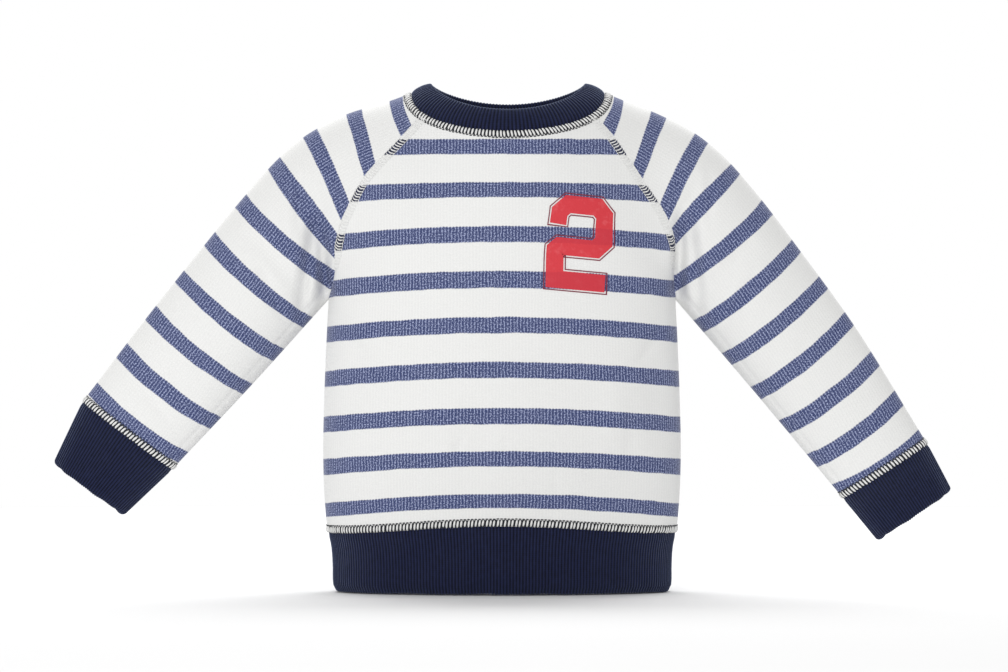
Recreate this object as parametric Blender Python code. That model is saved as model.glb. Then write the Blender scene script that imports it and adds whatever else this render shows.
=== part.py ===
# A child's raglan sweatshirt with a ribbed neckband, cuffs and hem band, filled out and hollow.
# The origin lies between the two neck points, where the wearer's shoulders hold the garment.
# +Z is up, the front faces -Y and the wearer's left sleeve is at +X. Sizes are in millimetres.
import math

import bpy
import bmesh
import numpy as np

METRE = 0.001

JERSEY_WALL = 1.8
RIB_WALL = 2.4
SEAM_GAP = 0.3
# Each edge draws back by more than half the gap, because some grid lines meet a seam at a slant.
SEAM_INSET = 0.74 * SEAM_GAP

# Ribs of the bands: how far a crest stands out and a groove lies in, and how many go once round.
RIB_CREST = 0.22
RIB_GROOVE = 0.33
RIBS = {"hem": 256, "cuff": 76, "neck": 140}
# Outside columns, two for each rib, to one column of the plain inside.
INSIDE_STEP = {"hem": 8, "cuff": 4, "neck": 4}

ARMPIT_OUT = 139.0
ARMPIT_HEIGHT = -162.4
YOKE_HALF_WIDTH = 140.0
SHOULDER_DEPTH = 140.0
CHEST_UNION = 4.0

HEM_SEAM_HEIGHT = -341.1
HEM_SEAM_DROP = 7.0
HEM_BOTTOM = -395.0

NECK_SHIFT = 4.8
NECK_SHIFT_INNER = 82.0
NECK_SHIFT_OUTER = 135.0
NECK_HALF_WIDTH = 77.4
NECK_HALF_DEPTH = 54.0
NECK_POINT_HEIGHT = 3.2
NECK_CURVE = 0.88
NECK_DROP = {"front": 32.2, "back": 23.2}
NECK_CORNER_OUT = {"front": 64.8, "back": 62.2}

COLLAR_HALF_WIDTH = 61.0
COLLAR_POINT_HEIGHT = 10.7
COLLAR_DROP = {"front": 21.7, "back": 14.0}
COLLAR_HALF_DEPTH = {"front": 47.0, "back": 44.0}
COLLAR_CURVE = {"front": 1.22, "back": 1.6}
COLLAR_BEND = 0.45

# Body sections, from the hem up: height, half width, half depth.
BODY_SECTIONS = (
    (-395.0, 132.0, 64.8),
    (-392.0, 134.2, 66.6),
    (-387.0, 135.1, 67.4),
    (-376.0, 135.3, 67.8),
    (-358.0, 136.6, 68.4),
    (-344.0, 139.8, 69.6),
    (-325.0, 141.6, 70.6),
    (-290.0, 143.0, 71.4),
    (-240.0, 142.2, 71.0),
    (-190.0, 140.2, 70.2),
    (ARMPIT_HEIGHT, ARMPIT_OUT, 69.4),
    (-120.0, 139.5, 68.4),
    (-60.0, YOKE_HALF_WIDTH, 67.0),
    (30.0, YOKE_HALF_WIDTH, 66.0),
)

# Shoulder line, the same on both sides: distance out from the middle, height.
SHOULDER_LINE = (
    (0.0, 34.0),
    (30.0, 27.0),
    (55.0, 13.0),
    (77.4, 3.2),
    (100.5, -5.6),
    (120.0, -12.0),
    (134.0, -18.0),
    (148.0, -25.4),
    (158.0, -31.6),
    (166.0, -37.8),
    (180.0, -50.4),
)

# Upper edge of each sleeve below the shoulder: distance out, height. The last row is the cuff seam.
UPPER_EDGE = {
    "right": ((203.0, -76.0), (245.0, -127.0), (286.0, -178.5), (336.0, -244.0)),
    "left": ((202.5, -76.0), (241.5, -127.0), (279.0, -178.5), (341.0, -278.0)),
}

# Under edge of each sleeve from the armpit: distance out, height. The last row is the cuff seam.
UNDER_EDGE = {
    "right": ((ARMPIT_OUT, ARMPIT_HEIGHT), (199.0, -229.0), (264.0, -298.0)),
    "left": ((ARMPIT_OUT, ARMPIT_HEIGHT), (197.0, -230.0), (273.0, -321.0)),
}

# Cuff ends: where the upper and the under edge stop, and how far back the end turns.
CUFF_END = {
    "right": {"upper": (360.6, -294.0), "under": (304.6, -335.6), "back": 12.0},
    "left": {"upper": (362.0, -315.6), "under": (302.8, -356.0), "back": 20.0},
}
SLEEVE_BACK = {"right": 6.0, "left": 8.0}
SLEEVE_BACK_START = 190.0
CUFF_HALF_DEPTH = 12.6

# Half depth of a sleeve by its distance out from the middle.
SLEEVE_DEPTH = (
    (0.0, 16.0),
    (80.0, 22.0),
    (150.0, 33.0),
    (205.0, 29.0),
    (260.0, 21.0),
    (345.0, 15.0),
)
UPPER_TURN = 221.0
NECK_BOW_START = 1.4

# Raglan seam on each side from the armpit up to the neck: height, distance out.
RAGLAN_SEAM = {
    "right": (
        (-162.4, 139.0),
        (-146.0, 134.8),
        (-129.0, 131.4),
        (-118.0, 129.4),
        (-104.0, 126.2),
        (-92.0, 120.8),
        (-74.0, 112.0),
        (-42.5, 88.8),
        (-23.5, 72.6),
        (-14.8, 64.8),
    ),
    "left": (
        (-162.4, 139.0),
        (-146.0, 137.8),
        (-127.0, 136.4),
        (-115.0, 134.6),
        (-99.6, 129.0),
        (-88.6, 123.0),
        (-74.0, 113.0),
        (-42.5, 88.8),
        (-23.5, 72.6),
        (-14.8, 64.8),
    ),
}

# Soft folds that hang from the armpits and lie in the body: face, where each starts and ends as
# distance across and height, its half width, and its depth, below 0 for a ridge.
FOLDS = (
    ("front", (-142.0, -150.0), (-160.0, -62.0), 9.0, 3.6),
    ("front", (-156.0, -158.0), (-204.0, -104.0), 9.0, 2.6),
    ("front", (143.0, -152.0), (153.0, -58.0), 8.5, 3.4),
    ("front", (158.0, -164.0), (201.0, -112.0), 9.5, 2.8),
    ("front", (-20.0, -228.0), (-17.0, -322.0), 12.0, 1.5),
    ("front", (92.0, -214.0), (86.0, -300.0), 13.0, -1.8),
    ("front", (120.0, -168.0), (124.0, -286.0), 11.0, 1.8),
    ("front", (-112.0, -190.0), (-118.0, -262.0), 14.0, 1.6),
    ("back", (-142.0, -152.0), (-156.0, -66.0), 9.0, 3.2),
    ("back", (-158.0, -162.0), (-200.0, -118.0), 9.5, 2.6),
    ("back", (142.0, -150.0), (160.0, -74.0), 9.0, 3.4),
    ("back", (155.0, -160.0), (206.0, -108.0), 9.0, 2.4),
    ("back", (-64.0, -236.0), (-58.0, -318.0), 14.0, 1.8),
    ("back", (38.0, -96.0), (26.0, -178.0), 15.0, 1.4),
    ("back", (84.0, -226.0), (92.0, -312.0), 13.0, -1.7),
)
FOLD_EDGE_DEPTH = 16.0

PANEL_COLUMNS = 24
BODY_ROWS = 11
YOKE_ROWS = 9
YOKE_SPREAD = 1.5
SLEEVE_COLUMNS = 10
TUBE_ROWS = 10
CUFF_ROWS = 2
NECK_ROWS = 3
# How far down the hem band each of its rings lies, closer together where its lower edge turns in.
HEM_LEVELS = (0.0, 0.42, 0.92, 1.0)

NAVY = (0.012, 0.016, 0.050, 1.0)
WHITE = (0.80, 0.80, 0.78, 1.0)


def through(knots, x):
    """Cubic curve through the knots, whose slope at a knot is the mean of its neighbours' slopes
    by their spacing, and a straight line beyond both ends."""
    knot_x, knot_y = np.array(knots, dtype=float).T
    slopes = np.gradient(knot_y, knot_x)
    x = np.asarray(x, dtype=float)
    inside = np.clip(x, knot_x[0], knot_x[-1])
    left = np.clip(np.searchsorted(knot_x, inside, side="right") - 1, 0, len(knot_x) - 2)
    width = knot_x[left + 1] - knot_x[left]
    t = (inside - knot_x[left]) / width
    value = (1 - t) ** 2 * (1 + 2 * t) * knot_y[left] + t ** 2 * (3 - 2 * t) * knot_y[left + 1]
    value = value + t * (1 - t) ** 2 * width * slopes[left] - t ** 2 * (1 - t) * width * slopes[left + 1]
    end_slope = np.where(x > knot_x[-1], slopes[-1], slopes[0])
    return value + (x - inside) * end_slope


def smooth_step(t):
    t = np.clip(t, 0.0, 1.0)
    return t * t * (3.0 - 2.0 * t)


def by_side(tables, x):
    """Reads the wearer's left table where x is positive and the right one elsewhere."""
    out = np.abs(x)
    return np.where(np.asarray(x) > 0, through(tables["left"], out), through(tables["right"], out))


OUTER_LINES = {side: SHOULDER_LINE + UPPER_EDGE[side] for side in UPPER_EDGE}


def torso_depth(x, z):
    """Half depth of the trunk: an ellipse across, which rounds off below the shoulder line."""
    half_width = through([(row[0], row[1]) for row in BODY_SECTIONS], z)
    half_depth = through([(row[0], row[2]) for row in BODY_SECTIONS], z)
    across = np.sqrt(np.clip(1.0 - (x / half_width) ** 2, 0.0, 1.0))
    below = np.clip((by_side(OUTER_LINES, x) - z) / SHOULDER_DEPTH, 0.0, 1.0)
    return half_depth * across * np.sqrt(1.0 - (1.0 - below) ** 2)


def sleeve_depth(x, z):
    """Half depth of the sleeve: an ellipse between its upper and its under edge."""
    to_upper = np.clip(by_side(OUTER_LINES, x) - z, 0.0, None)
    to_under = np.clip(z - by_side(UNDER_EDGE, x), 0.0, None)
    across = 2.0 * np.sqrt(to_upper * to_under) / np.maximum(to_upper + to_under, 1e-9)
    return through(SLEEVE_DEPTH, np.abs(x)) * across


def fold_depth(x, z, face):
    """Sum of the soft folds of one face. Each is a bell across its line, and along it an arch
    that starts and ends at nothing."""
    total = np.zeros(np.shape(x))
    for fold_face, start, end, half_width, depth in FOLDS:
        if fold_face == face:
            run = (end[0] - start[0], end[1] - start[1])
            length = math.hypot(*run)
            along = ((x - start[0]) * run[0] + (z - start[1]) * run[1]) / length ** 2
            across = ((x - start[0]) * run[1] - (z - start[1]) * run[0]) / length
            fade = np.clip(4.0 * along * (1.0 - along), 0.0, None)
            total = total + depth * fade * np.exp(-(across / half_width) ** 2)
    return total


def form_depth(x, z, face):
    """Half depth of the whole form: trunk and sleeves joined by a power mean, so that both
    outlines stay where they are and the surface turns smoothly from one to the other, less the
    folds, which fade out towards the outline."""
    trunk = torso_depth(x, z) ** CHEST_UNION
    arm = sleeve_depth(x, z) ** CHEST_UNION
    depth = (trunk + arm) ** (1.0 / CHEST_UNION)
    return depth - fold_depth(x, z, face) * np.clip(depth / FOLD_EDGE_DEPTH, 0.0, 1.0)


def placed(x, y, z):
    """Moves the neck sideways by its shift, which fades out over the yoke, and stacks x, y, z."""
    reach = np.hypot(x, z)
    share = 1.0 - smooth_step((reach - NECK_SHIFT_INNER) / (NECK_SHIFT_OUTER - NECK_SHIFT_INNER))
    return np.stack((x + NECK_SHIFT * share, y, z), axis=-1)


def neck_height(out, face):
    """Height of the neck seam: a flattened half oval that drops from the neck points."""
    round_off = np.clip(1.0 - (out / NECK_HALF_WIDTH) ** 2, 0.0, 1.0)
    return NECK_POINT_HEIGHT - NECK_DROP[face] * round_off ** (NECK_CURVE / 2.0)


def raglan(t, face, side):
    """Distance out and height of a raglan seam, from the armpit at 0 to the neck at 1."""
    corner_out = NECK_CORNER_OUT[face]
    corner_height = float(neck_height(corner_out, face))
    height = ARMPIT_HEIGHT + t * (corner_height - ARMPIT_HEIGHT)
    miss = corner_out - float(through(RAGLAN_SEAM[side], corner_height))
    return through(RAGLAN_SEAM[side], height) + miss * t ** 4, height


def hem_seam(angle):
    """Height of the hem seam at an angle round the body from the middle of the front. It is
    level there and at the middle of the back, and drops towards the sides."""
    return HEM_SEAM_HEIGHT - HEM_SEAM_DROP * (1.0 - np.cos(angle) ** 4)


def panel(u, v, face):
    """Front or back panel. u runs from the right side at -1 to the left side at 1. v runs from
    the hem seam at 0 to the armpit at 1, where rings go round the body, and on to the neck at 2,
    where each row goes from one raglan seam to the other and bends down to the neck seam."""
    lower = np.clip(v, None, 1.0)
    upper = np.clip(v - 1.0, 0.0, None)
    right_out, seam_height = raglan(upper, face, "right")
    left_out = raglan(upper, face, "left")[0]
    seam_out = np.where(u < 0.0, right_out, left_out)
    corner_height = float(neck_height(NECK_CORNER_OUT[face], face))
    neck_angle = math.asin(NECK_CORNER_OUT[face] / YOKE_HALF_WIDTH)
    neck_row = neck_height(YOKE_HALF_WIDTH * np.sin(u * neck_angle), face) - corner_height
    hem = hem_seam(u * math.pi / 2.0)
    z = np.where(v < 1.0, hem + lower * (ARMPIT_HEIGHT - hem), seam_height + upper ** 2 * neck_row)
    half_width = through([(row[0], row[1]) for row in BODY_SECTIONS], z)
    reach = np.where(v < 1.0, math.pi / 2.0, np.arcsin(np.clip(seam_out / half_width, -1.0, 1.0)))
    x = half_width * np.sin(u * reach)
    turned = np.where(np.cos(u * reach) < 0.0, 1.0, -1.0)
    facing = 1.0 if face == "front" else -1.0
    return placed(x, facing * turned * form_depth(x, z, face), z)


def sleeve(u, v, side):
    """Raglan sleeve. u runs from the underarm at -1 over the back, the upper edge at 0 and the
    front to the underarm at 1. v runs from the cuff seam at 0 to the armpit at 1, as a tube, and
    on to the neck at 2, where the halves end on the raglan seams."""
    lower = np.clip(v, None, 1.0)
    upper = np.clip(v - 1.0, 0.0, None)
    cuff_upper = UPPER_EDGE[side][-1][0]
    cuff_under = UNDER_EDGE[side][-1][0]
    edge_knots = ((0.0, cuff_upper), (1.0, UPPER_TURN), (2.0, NECK_HALF_WIDTH))
    edge_out = through(edge_knots, v)
    edge_height = through(OUTER_LINES[side], edge_out)
    under_out = cuff_under + lower * (ARMPIT_OUT - cuff_under)
    under_height = through(UNDER_EDGE[side], under_out)
    front_out, front_height = raglan(upper, "front", side)
    back_out, back_height = raglan(upper, "back", side)
    seam_out = np.where(u > 0, front_out, back_out)
    seam_height = np.where(u > 0, front_height, back_height)
    end_out = np.where(v < 1.0, under_out, seam_out)
    end_height = np.where(v < 1.0, under_height, seam_height)
    sweep = math.pi * (1.0 - 0.5 * np.clip(v - 1.0, 0.0, 1.0))
    share = (1.0 - np.cos(u * sweep)) / (1.0 - np.cos(sweep))
    out = edge_out + share * (end_out - edge_out)
    z = edge_height + share * (end_height - edge_height)
    bow = smooth_step((v - NECK_BOW_START) / (2.0 - NECK_BOW_START))
    for face, on_face in (("front", u > 0), ("back", u <= 0)):
        corner = NECK_CORNER_OUT[face]
        corner_turn = math.acos(corner / NECK_HALF_WIDTH)
        arc_out = NECK_HALF_WIDTH * np.cos(corner_turn * np.clip(share, 0.0, None))
        arc_height = neck_height(arc_out, face)
        chord_out = NECK_HALF_WIDTH + share * (corner - NECK_HALF_WIDTH)
        corner_height = float(neck_height(corner, face))
        chord_height = NECK_POINT_HEIGHT + share * (corner_height - NECK_POINT_HEIGHT)
        out = out + np.where(on_face, bow * (arc_out - chord_out), 0.0)
        z = z + np.where(on_face, bow * (arc_height - chord_height), 0.0)
    x = out if side == "left" else -out
    depth = np.where(u > 0, form_depth(x, z, "front"), form_depth(x, z, "back"))
    span = cuff_upper - SLEEVE_BACK_START
    back = SLEEVE_BACK[side] * np.clip((out - SLEEVE_BACK_START) / span, 0.0, None) ** 2
    y = np.where(np.sin(u * sweep) > 0.0, -depth, depth) + back
    return placed(x, y, z)


def cuff(u, v, side):
    """Cuff: an oval between its two edges. u goes round as on the sleeve, v runs from the seam
    at 0 to the open end at 1. Near the seam it takes the sleeve's own section."""
    end = CUFF_END[side]
    seam_upper = np.array(UPPER_EDGE[side][-1])
    seam_under = np.array(UNDER_EDGE[side][-1])
    share = (1.0 - np.cos(u * math.pi)) / 2.0

    def section(w):
        upper = seam_upper + w[..., None] * (np.array(end["upper"]) - seam_upper)
        under = seam_under + w[..., None] * (np.array(end["under"]) - seam_under)
        middle = upper + share[..., None] * (under - upper)
        back = SLEEVE_BACK[side] + w * (end["back"] - SLEEVE_BACK[side])
        x = middle[..., 0] if side == "left" else -middle[..., 0]
        return np.stack((x, back - CUFF_HALF_DEPTH * np.sin(u * math.pi), middle[..., 1]), axis=-1)

    zero = np.zeros_like(v)
    seam = sleeve(u, zero, side)
    fade = (np.clip(1.0 - v, 0.0, None) ** 2)[..., None]
    return section(v) + fade * (seam - section(zero))


def hem_band(u, v):
    """Hem band: oval rings between the hem seam at v 0 and the bottom at v 1. u goes once round
    in angle, from -1 to 1 at the back."""
    angle = u * math.pi
    seam = hem_seam(angle)
    z = seam + v * (HEM_BOTTOM - seam)
    half_width = through([(row[0], row[1]) for row in BODY_SECTIONS], z)
    half_depth = through([(row[0], row[2]) for row in BODY_SECTIONS], z)
    return np.stack((half_width * np.sin(angle), -half_depth * np.cos(angle), z), axis=-1)


def collar_edge(seam):
    """Top edge of the neckband above each seam point, at the same angle round the neck."""
    sideways = (seam[..., 0] - NECK_SHIFT) / NECK_HALF_WIDTH
    angle = np.arctan2(sideways, -seam[..., 1] / NECK_HALF_DEPTH)
    ahead = np.cos(angle)
    face = {key: np.where(ahead > 0.0, pair["front"], pair["back"])
            for key, pair in (("drop", COLLAR_DROP), ("depth", COLLAR_HALF_DEPTH), ("curve", COLLAR_CURVE))}
    height = COLLAR_POINT_HEIGHT - face["drop"] * np.abs(ahead) ** face["curve"]
    x = NECK_SHIFT + COLLAR_HALF_WIDTH * np.sin(angle)
    return np.stack((x, -face["depth"] * ahead, height), axis=-1)


def unit(vectors):
    return vectors / np.maximum(np.linalg.norm(vectors, axis=-1, keepdims=True), 1e-12)


def surface_grid(surface, us, vs, step=2e-3):
    """Points of a surface on a grid of rows vs and columns us, with its unit normals from
    central differences."""
    u, v = np.meshgrid(us, vs)
    points = surface(u, v)
    along_u = surface(u + step, v) - surface(u - step, v)
    along_v = surface(u, v + step) - surface(u, v - step)
    return points, unit(np.cross(along_u, along_v))


def inset_edges(points, edges):
    """Draws the named edges of a grid back along its own lines, which leaves the seam gap."""
    moved = points.copy()
    for edge in edges:
        rim, inner = {"first_row": ((0,), (1,)), "last_row": ((-1,), (-2,)),
                      "first_column": ((slice(None), 0), (slice(None), 1)),
                      "last_column": ((slice(None), -1), (slice(None), -2))}[edge]
        moved[rim] = moved[rim] + SEAM_INSET * unit(points[inner] - points[rim])
    return moved


def grid_quads(index):
    """Faces of a grid of vertex numbers."""
    corners = np.stack((index[:-1, :-1], index[:-1, 1:], index[1:, 1:], index[1:, :-1]), axis=-1)
    return corners.reshape(-1, 4)


def wall_object(name, points, normals, wall, material):
    """A closed wall: the grid as its outside, the same grid moved in by the wall as its inside,
    and a rim along the four edges."""
    count = points.shape[0] * points.shape[1]
    index = np.arange(count).reshape(points.shape[:2])
    inner = points - wall * normals
    loop = np.concatenate((index[0], index[1:, -1], index[-1, -2::-1], index[-2:0:-1, 0]))
    ahead = np.roll(loop, -1)
    rim = np.stack((ahead, loop, loop + count, ahead + count), axis=-1)
    quads = grid_quads(index)
    faces = quads.tolist() + (quads[:, ::-1] + count).tolist() + rim.tolist()
    return solid_object(name, np.concatenate((points.reshape(-1, 3), inner.reshape(-1, 3))), faces, material)


def ribbed_ring(name, points, normals, wall, inside_step, material):
    """A closed ring whose outside is ribbed: every second column is a crest and the others are
    grooves. Its inside is plain, with one column for each inside_step columns outside, and both
    rims join the two. The last column of the grid is its first."""
    rise = np.where(np.arange(points.shape[1]) % 2 == 0, RIB_CREST, -RIB_GROOVE)
    outer = points + rise[:, None] * normals
    inner = (points - wall * normals)[:, ::inside_step]
    outer_index = ring_index(len(points), points.shape[1] - 1)
    inner_index = ring_index(len(points), inner.shape[1] - 1) + outer_index.max() + 1
    faces = grid_quads(outer_index).tolist() + grid_quads(inner_index)[:, ::-1].tolist()
    for row in (0, -1):
        for part in range(inner.shape[1] - 1):
            start = part * inside_step
            outside = outer_index[row, start:start + inside_step + 1].tolist()
            faces.append(outside + inner_index[row, part:part + 2].tolist()[::-1])
    vertices = np.concatenate((outer[:, :-1].reshape(-1, 3), inner[:, :-1].reshape(-1, 3)))
    return solid_object(name, vertices, faces, material)


def solid_object(name, vertices, faces, material):
    """One closed mesh of triangles whose faces point out."""
    mesh = bpy.data.meshes.new(name)
    mesh.from_pydata((vertices * METRE).tolist(), [], faces)
    clean = bmesh.new()
    clean.from_mesh(mesh)
    bmesh.ops.recalc_face_normals(clean, faces=clean.faces)
    bmesh.ops.triangulate(clean, faces=clean.faces)
    clean.to_mesh(mesh)
    clean.free()
    mesh.shade_smooth()
    mesh.set_sharp_from_angle(angle=math.radians(50.0))
    mesh.materials.append(material)
    item = bpy.data.objects.new(name, mesh)
    bpy.context.scene.collection.objects.link(item)
    return item


def ring_index(rows, columns):
    """Vertex numbers of a tube, whose first column comes again as its last."""
    index = np.arange(rows * columns).reshape(rows, columns)
    return np.concatenate((index, index[:, :1]), axis=1)


def even_turns(surface, count):
    """Values of u that space count points evenly round the first ring of a surface."""
    dense = np.linspace(-1.0, 1.0, 1441)
    points = surface(dense, np.zeros_like(dense))
    length = np.concatenate(([0.0], np.cumsum(np.linalg.norm(np.diff(points, axis=0), axis=1))))
    return np.interp(np.linspace(0.0, length[-1], count + 1), length, dense)


def cloth_material(name, colour, roughness):
    material = bpy.data.materials.new(name)
    material.use_nodes = True
    shader = material.node_tree.nodes["Principled BSDF"]
    shader.inputs["Base Color"].default_value = colour
    shader.inputs["Roughness"].default_value = roughness
    shader.inputs["Metallic"].default_value = 0.0
    return material


def yoke_levels():
    """Rows of the yoke, closer together near the armpit, where the seam turns under the arm."""
    return 1.0 + np.linspace(0.0, 1.0, YOKE_ROWS + 1) ** YOKE_SPREAD


def panel_levels():
    return np.concatenate((np.linspace(0.0, 1.0, BODY_ROWS + 1)[:-1], yoke_levels()))


def panel_columns():
    return np.linspace(-1.0, 1.0, PANEL_COLUMNS + 1)


def sleeve_levels():
    return np.concatenate((np.linspace(0.0, 1.0, TUBE_ROWS + 1)[:-1], yoke_levels()))


def sleeve_columns():
    return np.linspace(-1.0, 1.0, 2 * SLEEVE_COLUMNS + 1)


def make_panel(face, material):
    def surface(u, v):
        return panel(u, v, face)

    points, normals = surface_grid(surface, panel_columns(), panel_levels())
    outward = -1.0 if face == "back" else 1.0
    points = inset_edges(points, ("first_row", "last_row", "first_column", "last_column"))
    return wall_object(face, points, normals * outward, JERSEY_WALL, material)


def make_sleeve_half(side, face, material):
    """Front or back half of a sleeve. The halves meet along the upper edge and the underarm."""
    def surface(u, v):
        return sleeve(u, v, side)

    columns = sleeve_columns()
    half = columns[SLEEVE_COLUMNS:] if face == "front" else columns[:SLEEVE_COLUMNS + 1]
    points, normals = surface_grid(surface, half, sleeve_levels())
    outward = -1.0 if side == "left" else 1.0
    moved = inset_edges(points, ("first_row", "last_row", "first_column", "last_column"))
    under = -1 if face == "front" else 0
    armpit = points[TUBE_ROWS, under]
    moved[TUBE_ROWS, under] += SEAM_INSET * unit(points[TUBE_ROWS - 1, under] - armpit)
    return wall_object(f"sleeve_{side}_{face}", moved, normals * outward, JERSEY_WALL, material)


def make_cuff(side, material):
    def surface(u, v):
        return cuff(u, v, side)

    def sleeve_surface(u, v):
        return sleeve(u, v, side)

    columns = even_turns(surface, 2 * RIBS["cuff"])
    points, normals = surface_grid(surface, columns, np.linspace(0.0, 1.0, CUFF_ROWS + 1))
    outward = 1.0 if side == "left" else -1.0
    normals[0] = -surface_grid(sleeve_surface, columns, [0.0])[1][0]
    points = inset_edges(points, ("first_row",))
    return ribbed_ring("cuff_" + side, points, normals * outward, RIB_WALL, INSIDE_STEP["cuff"], material)


def make_hem_band(material):
    columns = even_turns(hem_band, 2 * RIBS["hem"])
    points, normals = surface_grid(hem_band, columns, HEM_LEVELS)
    points = inset_edges(points, ("first_row",))
    return ribbed_ring("hem_band", points, -normals, RIB_WALL, INSIDE_STEP["hem"], material)


def neck_loop(count):
    """Points and outward normals once round the neck seam, spaced evenly: front, left sleeve,
    back and right sleeve."""
    columns = np.linspace(-1.0, 1.0, 241)
    pieces = (
        (lambda u, v: panel(u, v, "front"), columns, 1.0),
        (lambda u, v: sleeve(u, v, "left"), columns[::-1], -1.0),
        (lambda u, v: panel(u, v, "back"), columns[::-1], -1.0),
        (lambda u, v: sleeve(u, v, "right"), columns, 1.0),
    )
    points = []
    normals = []
    for surface, turns, outward in pieces:
        row, row_normals = surface_grid(surface, turns, [2.0])
        points.append(row[0, :-1])
        normals.append(row_normals[0, :-1] * outward)
    points = np.concatenate(points + [points[0][:1]])
    normals = np.concatenate(normals + [normals[0][:1]])
    length = np.concatenate(([0.0], np.cumsum(np.linalg.norm(np.diff(points, axis=0), axis=1))))
    places = np.linspace(0.0, length[-1], count + 1)
    even = [np.stack([np.interp(places, length, grid[:, axis]) for axis in range(3)], axis=-1)
            for grid in (points, normals)]
    return even[0], unit(even[1])


def make_neckband(material):
    """Neckband: each column is a quadratic curve that leaves the seam square to it, along the
    body's own surface, and ends on the top edge."""
    seam, seam_normals = neck_loop(2 * RIBS["neck"])
    along = np.roll(seam[:-1], -1, axis=0) - np.roll(seam[:-1], 1, axis=0)
    upward = unit(np.cross(seam_normals, np.concatenate((along, along[:1]))))
    top = collar_edge(seam)
    lift = COLLAR_BEND * np.linalg.norm(top - seam, axis=-1, keepdims=True)
    rows = []
    for t in np.linspace(0.0, 1.0, NECK_ROWS + 1):
        middle = seam + lift * upward
        rows.append((1 - t) ** 2 * seam + 2 * t * (1 - t) * middle + t ** 2 * top)
    points = np.stack(rows)
    around = np.roll(points[:, :-1], -1, axis=1) - np.roll(points[:, :-1], 1, axis=1)
    around = np.concatenate((around, around[:, :1]), axis=1)
    normals = unit(np.cross(around, np.gradient(points, axis=0)))
    normals[0] = seam_normals
    points = inset_edges(points, ("first_row",))
    return ribbed_ring("neckband", points, normals, RIB_WALL, INSIDE_STEP["neck"], material)


def main():
    for item in list(bpy.data.objects):
        bpy.data.objects.remove(item)
    jersey = cloth_material("striped_jersey", WHITE, 0.92)
    rib = cloth_material("navy_rib", NAVY, 0.88)
    for face in ("front", "back"):
        make_panel(face, jersey)
    for side in ("left", "right"):
        make_sleeve_half(side, "front", jersey)
        make_sleeve_half(side, "back", jersey)
        make_cuff(side, rib)
    make_neckband(rib)
    make_hem_band(rib)


main()
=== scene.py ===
import math

import bpy
import numpy as np
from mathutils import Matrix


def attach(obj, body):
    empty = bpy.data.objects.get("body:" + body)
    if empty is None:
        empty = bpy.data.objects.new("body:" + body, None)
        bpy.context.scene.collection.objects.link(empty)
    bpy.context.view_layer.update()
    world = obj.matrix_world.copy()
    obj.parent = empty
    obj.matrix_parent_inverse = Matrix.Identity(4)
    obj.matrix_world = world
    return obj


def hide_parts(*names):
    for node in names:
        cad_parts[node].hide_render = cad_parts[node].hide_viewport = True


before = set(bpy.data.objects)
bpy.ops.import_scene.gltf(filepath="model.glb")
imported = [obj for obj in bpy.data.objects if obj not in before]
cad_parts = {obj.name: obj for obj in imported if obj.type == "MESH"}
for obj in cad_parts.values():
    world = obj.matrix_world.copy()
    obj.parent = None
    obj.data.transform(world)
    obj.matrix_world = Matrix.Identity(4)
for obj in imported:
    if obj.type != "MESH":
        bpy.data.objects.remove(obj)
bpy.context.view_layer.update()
millimetre = 0.001

# Cloth form, the same as the solids carry
garment = {
    "armpitOut": 139.0,
    "armpitHeight": -162.4,
    "yokeHalfWidth": 140.0,
    "trunkHalfDepth": 69.0,
    "shoulderRound": 140.0,
    "chestUnion": 4.0,
    "hemSeamHeight": -341.1,
    "hemSeamDrop": 7.0,
    "hemBottom": -395.0,
    "neckShift": 4.8,
    "neckShiftFrom": 82.0,
    "neckShiftTo": 135.0,
    "neckHalfWidth": 77.4,
    "neckHalfDepth": 54.0,
    "neckPointHeight": 3.2,
    "neckCurve": 0.88,
    "neckDrop": {"front": 32.2, "back": 23.2},
    "neckCorner": {"front": 64.8, "back": 62.2},
    "foldEdgeDepth": 16.0,
    "upperTurn": 221.0,
    "neckBowStart": 1.4,
    "sleeveBack": {"right": 6.0, "left": 8.0},
    "sleeveBackStart": 190.0,
    "cuffHalfDepth": 12.6,
    "jerseyWall": 1.6,
    "ribWall": 2.3,
}

# height, half width, half depth
bodySections = np.array((
    (-395.0, 132.0, 64.8),
    (-392.0, 134.2, 66.6),
    (-387.0, 135.1, 67.4),
    (-376.0, 135.3, 67.8),
    (-358.0, 136.6, 68.4),
    (-344.0, 139.8, 69.6),
    (-325.0, 141.6, 70.6),
    (-290.0, 143.0, 71.4),
    (-240.0, 142.2, 71.0),
    (-190.0, 140.2, 70.2),
    (-162.4, 139.0, 69.4),
    (-120.0, 139.5, 68.4),
    (-60.0, 140.0, 67.0),
    (30.0, 140.0, 66.0),
))

# distance out, height
shoulderLine = (
    (0.0, 34.0), (30.0, 27.0), (55.0, 13.0), (77.4, 3.2), (100.5, -5.6), (120.0, -12.0),
    (134.0, -18.0), (148.0, -25.4), (158.0, -31.6), (166.0, -37.8), (180.0, -50.4),
)
upperEdge = {
    "right": ((203.0, -76.0), (245.0, -127.0), (286.0, -178.5), (336.0, -244.0)),
    "left": ((202.5, -76.0), (241.5, -127.0), (279.0, -178.5), (341.0, -278.0)),
}
underEdge = {
    "right": ((139.0, -162.4), (199.0, -229.0), (264.0, -298.0)),
    "left": ((139.0, -162.4), (197.0, -230.0), (273.0, -321.0)),
}
outerLine = {side: shoulderLine + upperEdge[side] for side in upperEdge}

# distance out, half depth of the sleeve
sleeveHalfDepth = ((0.0, 16.0), (80.0, 22.0), (150.0, 33.0), (205.0, 29.0), (260.0, 21.0), (345.0, 15.0))

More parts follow.
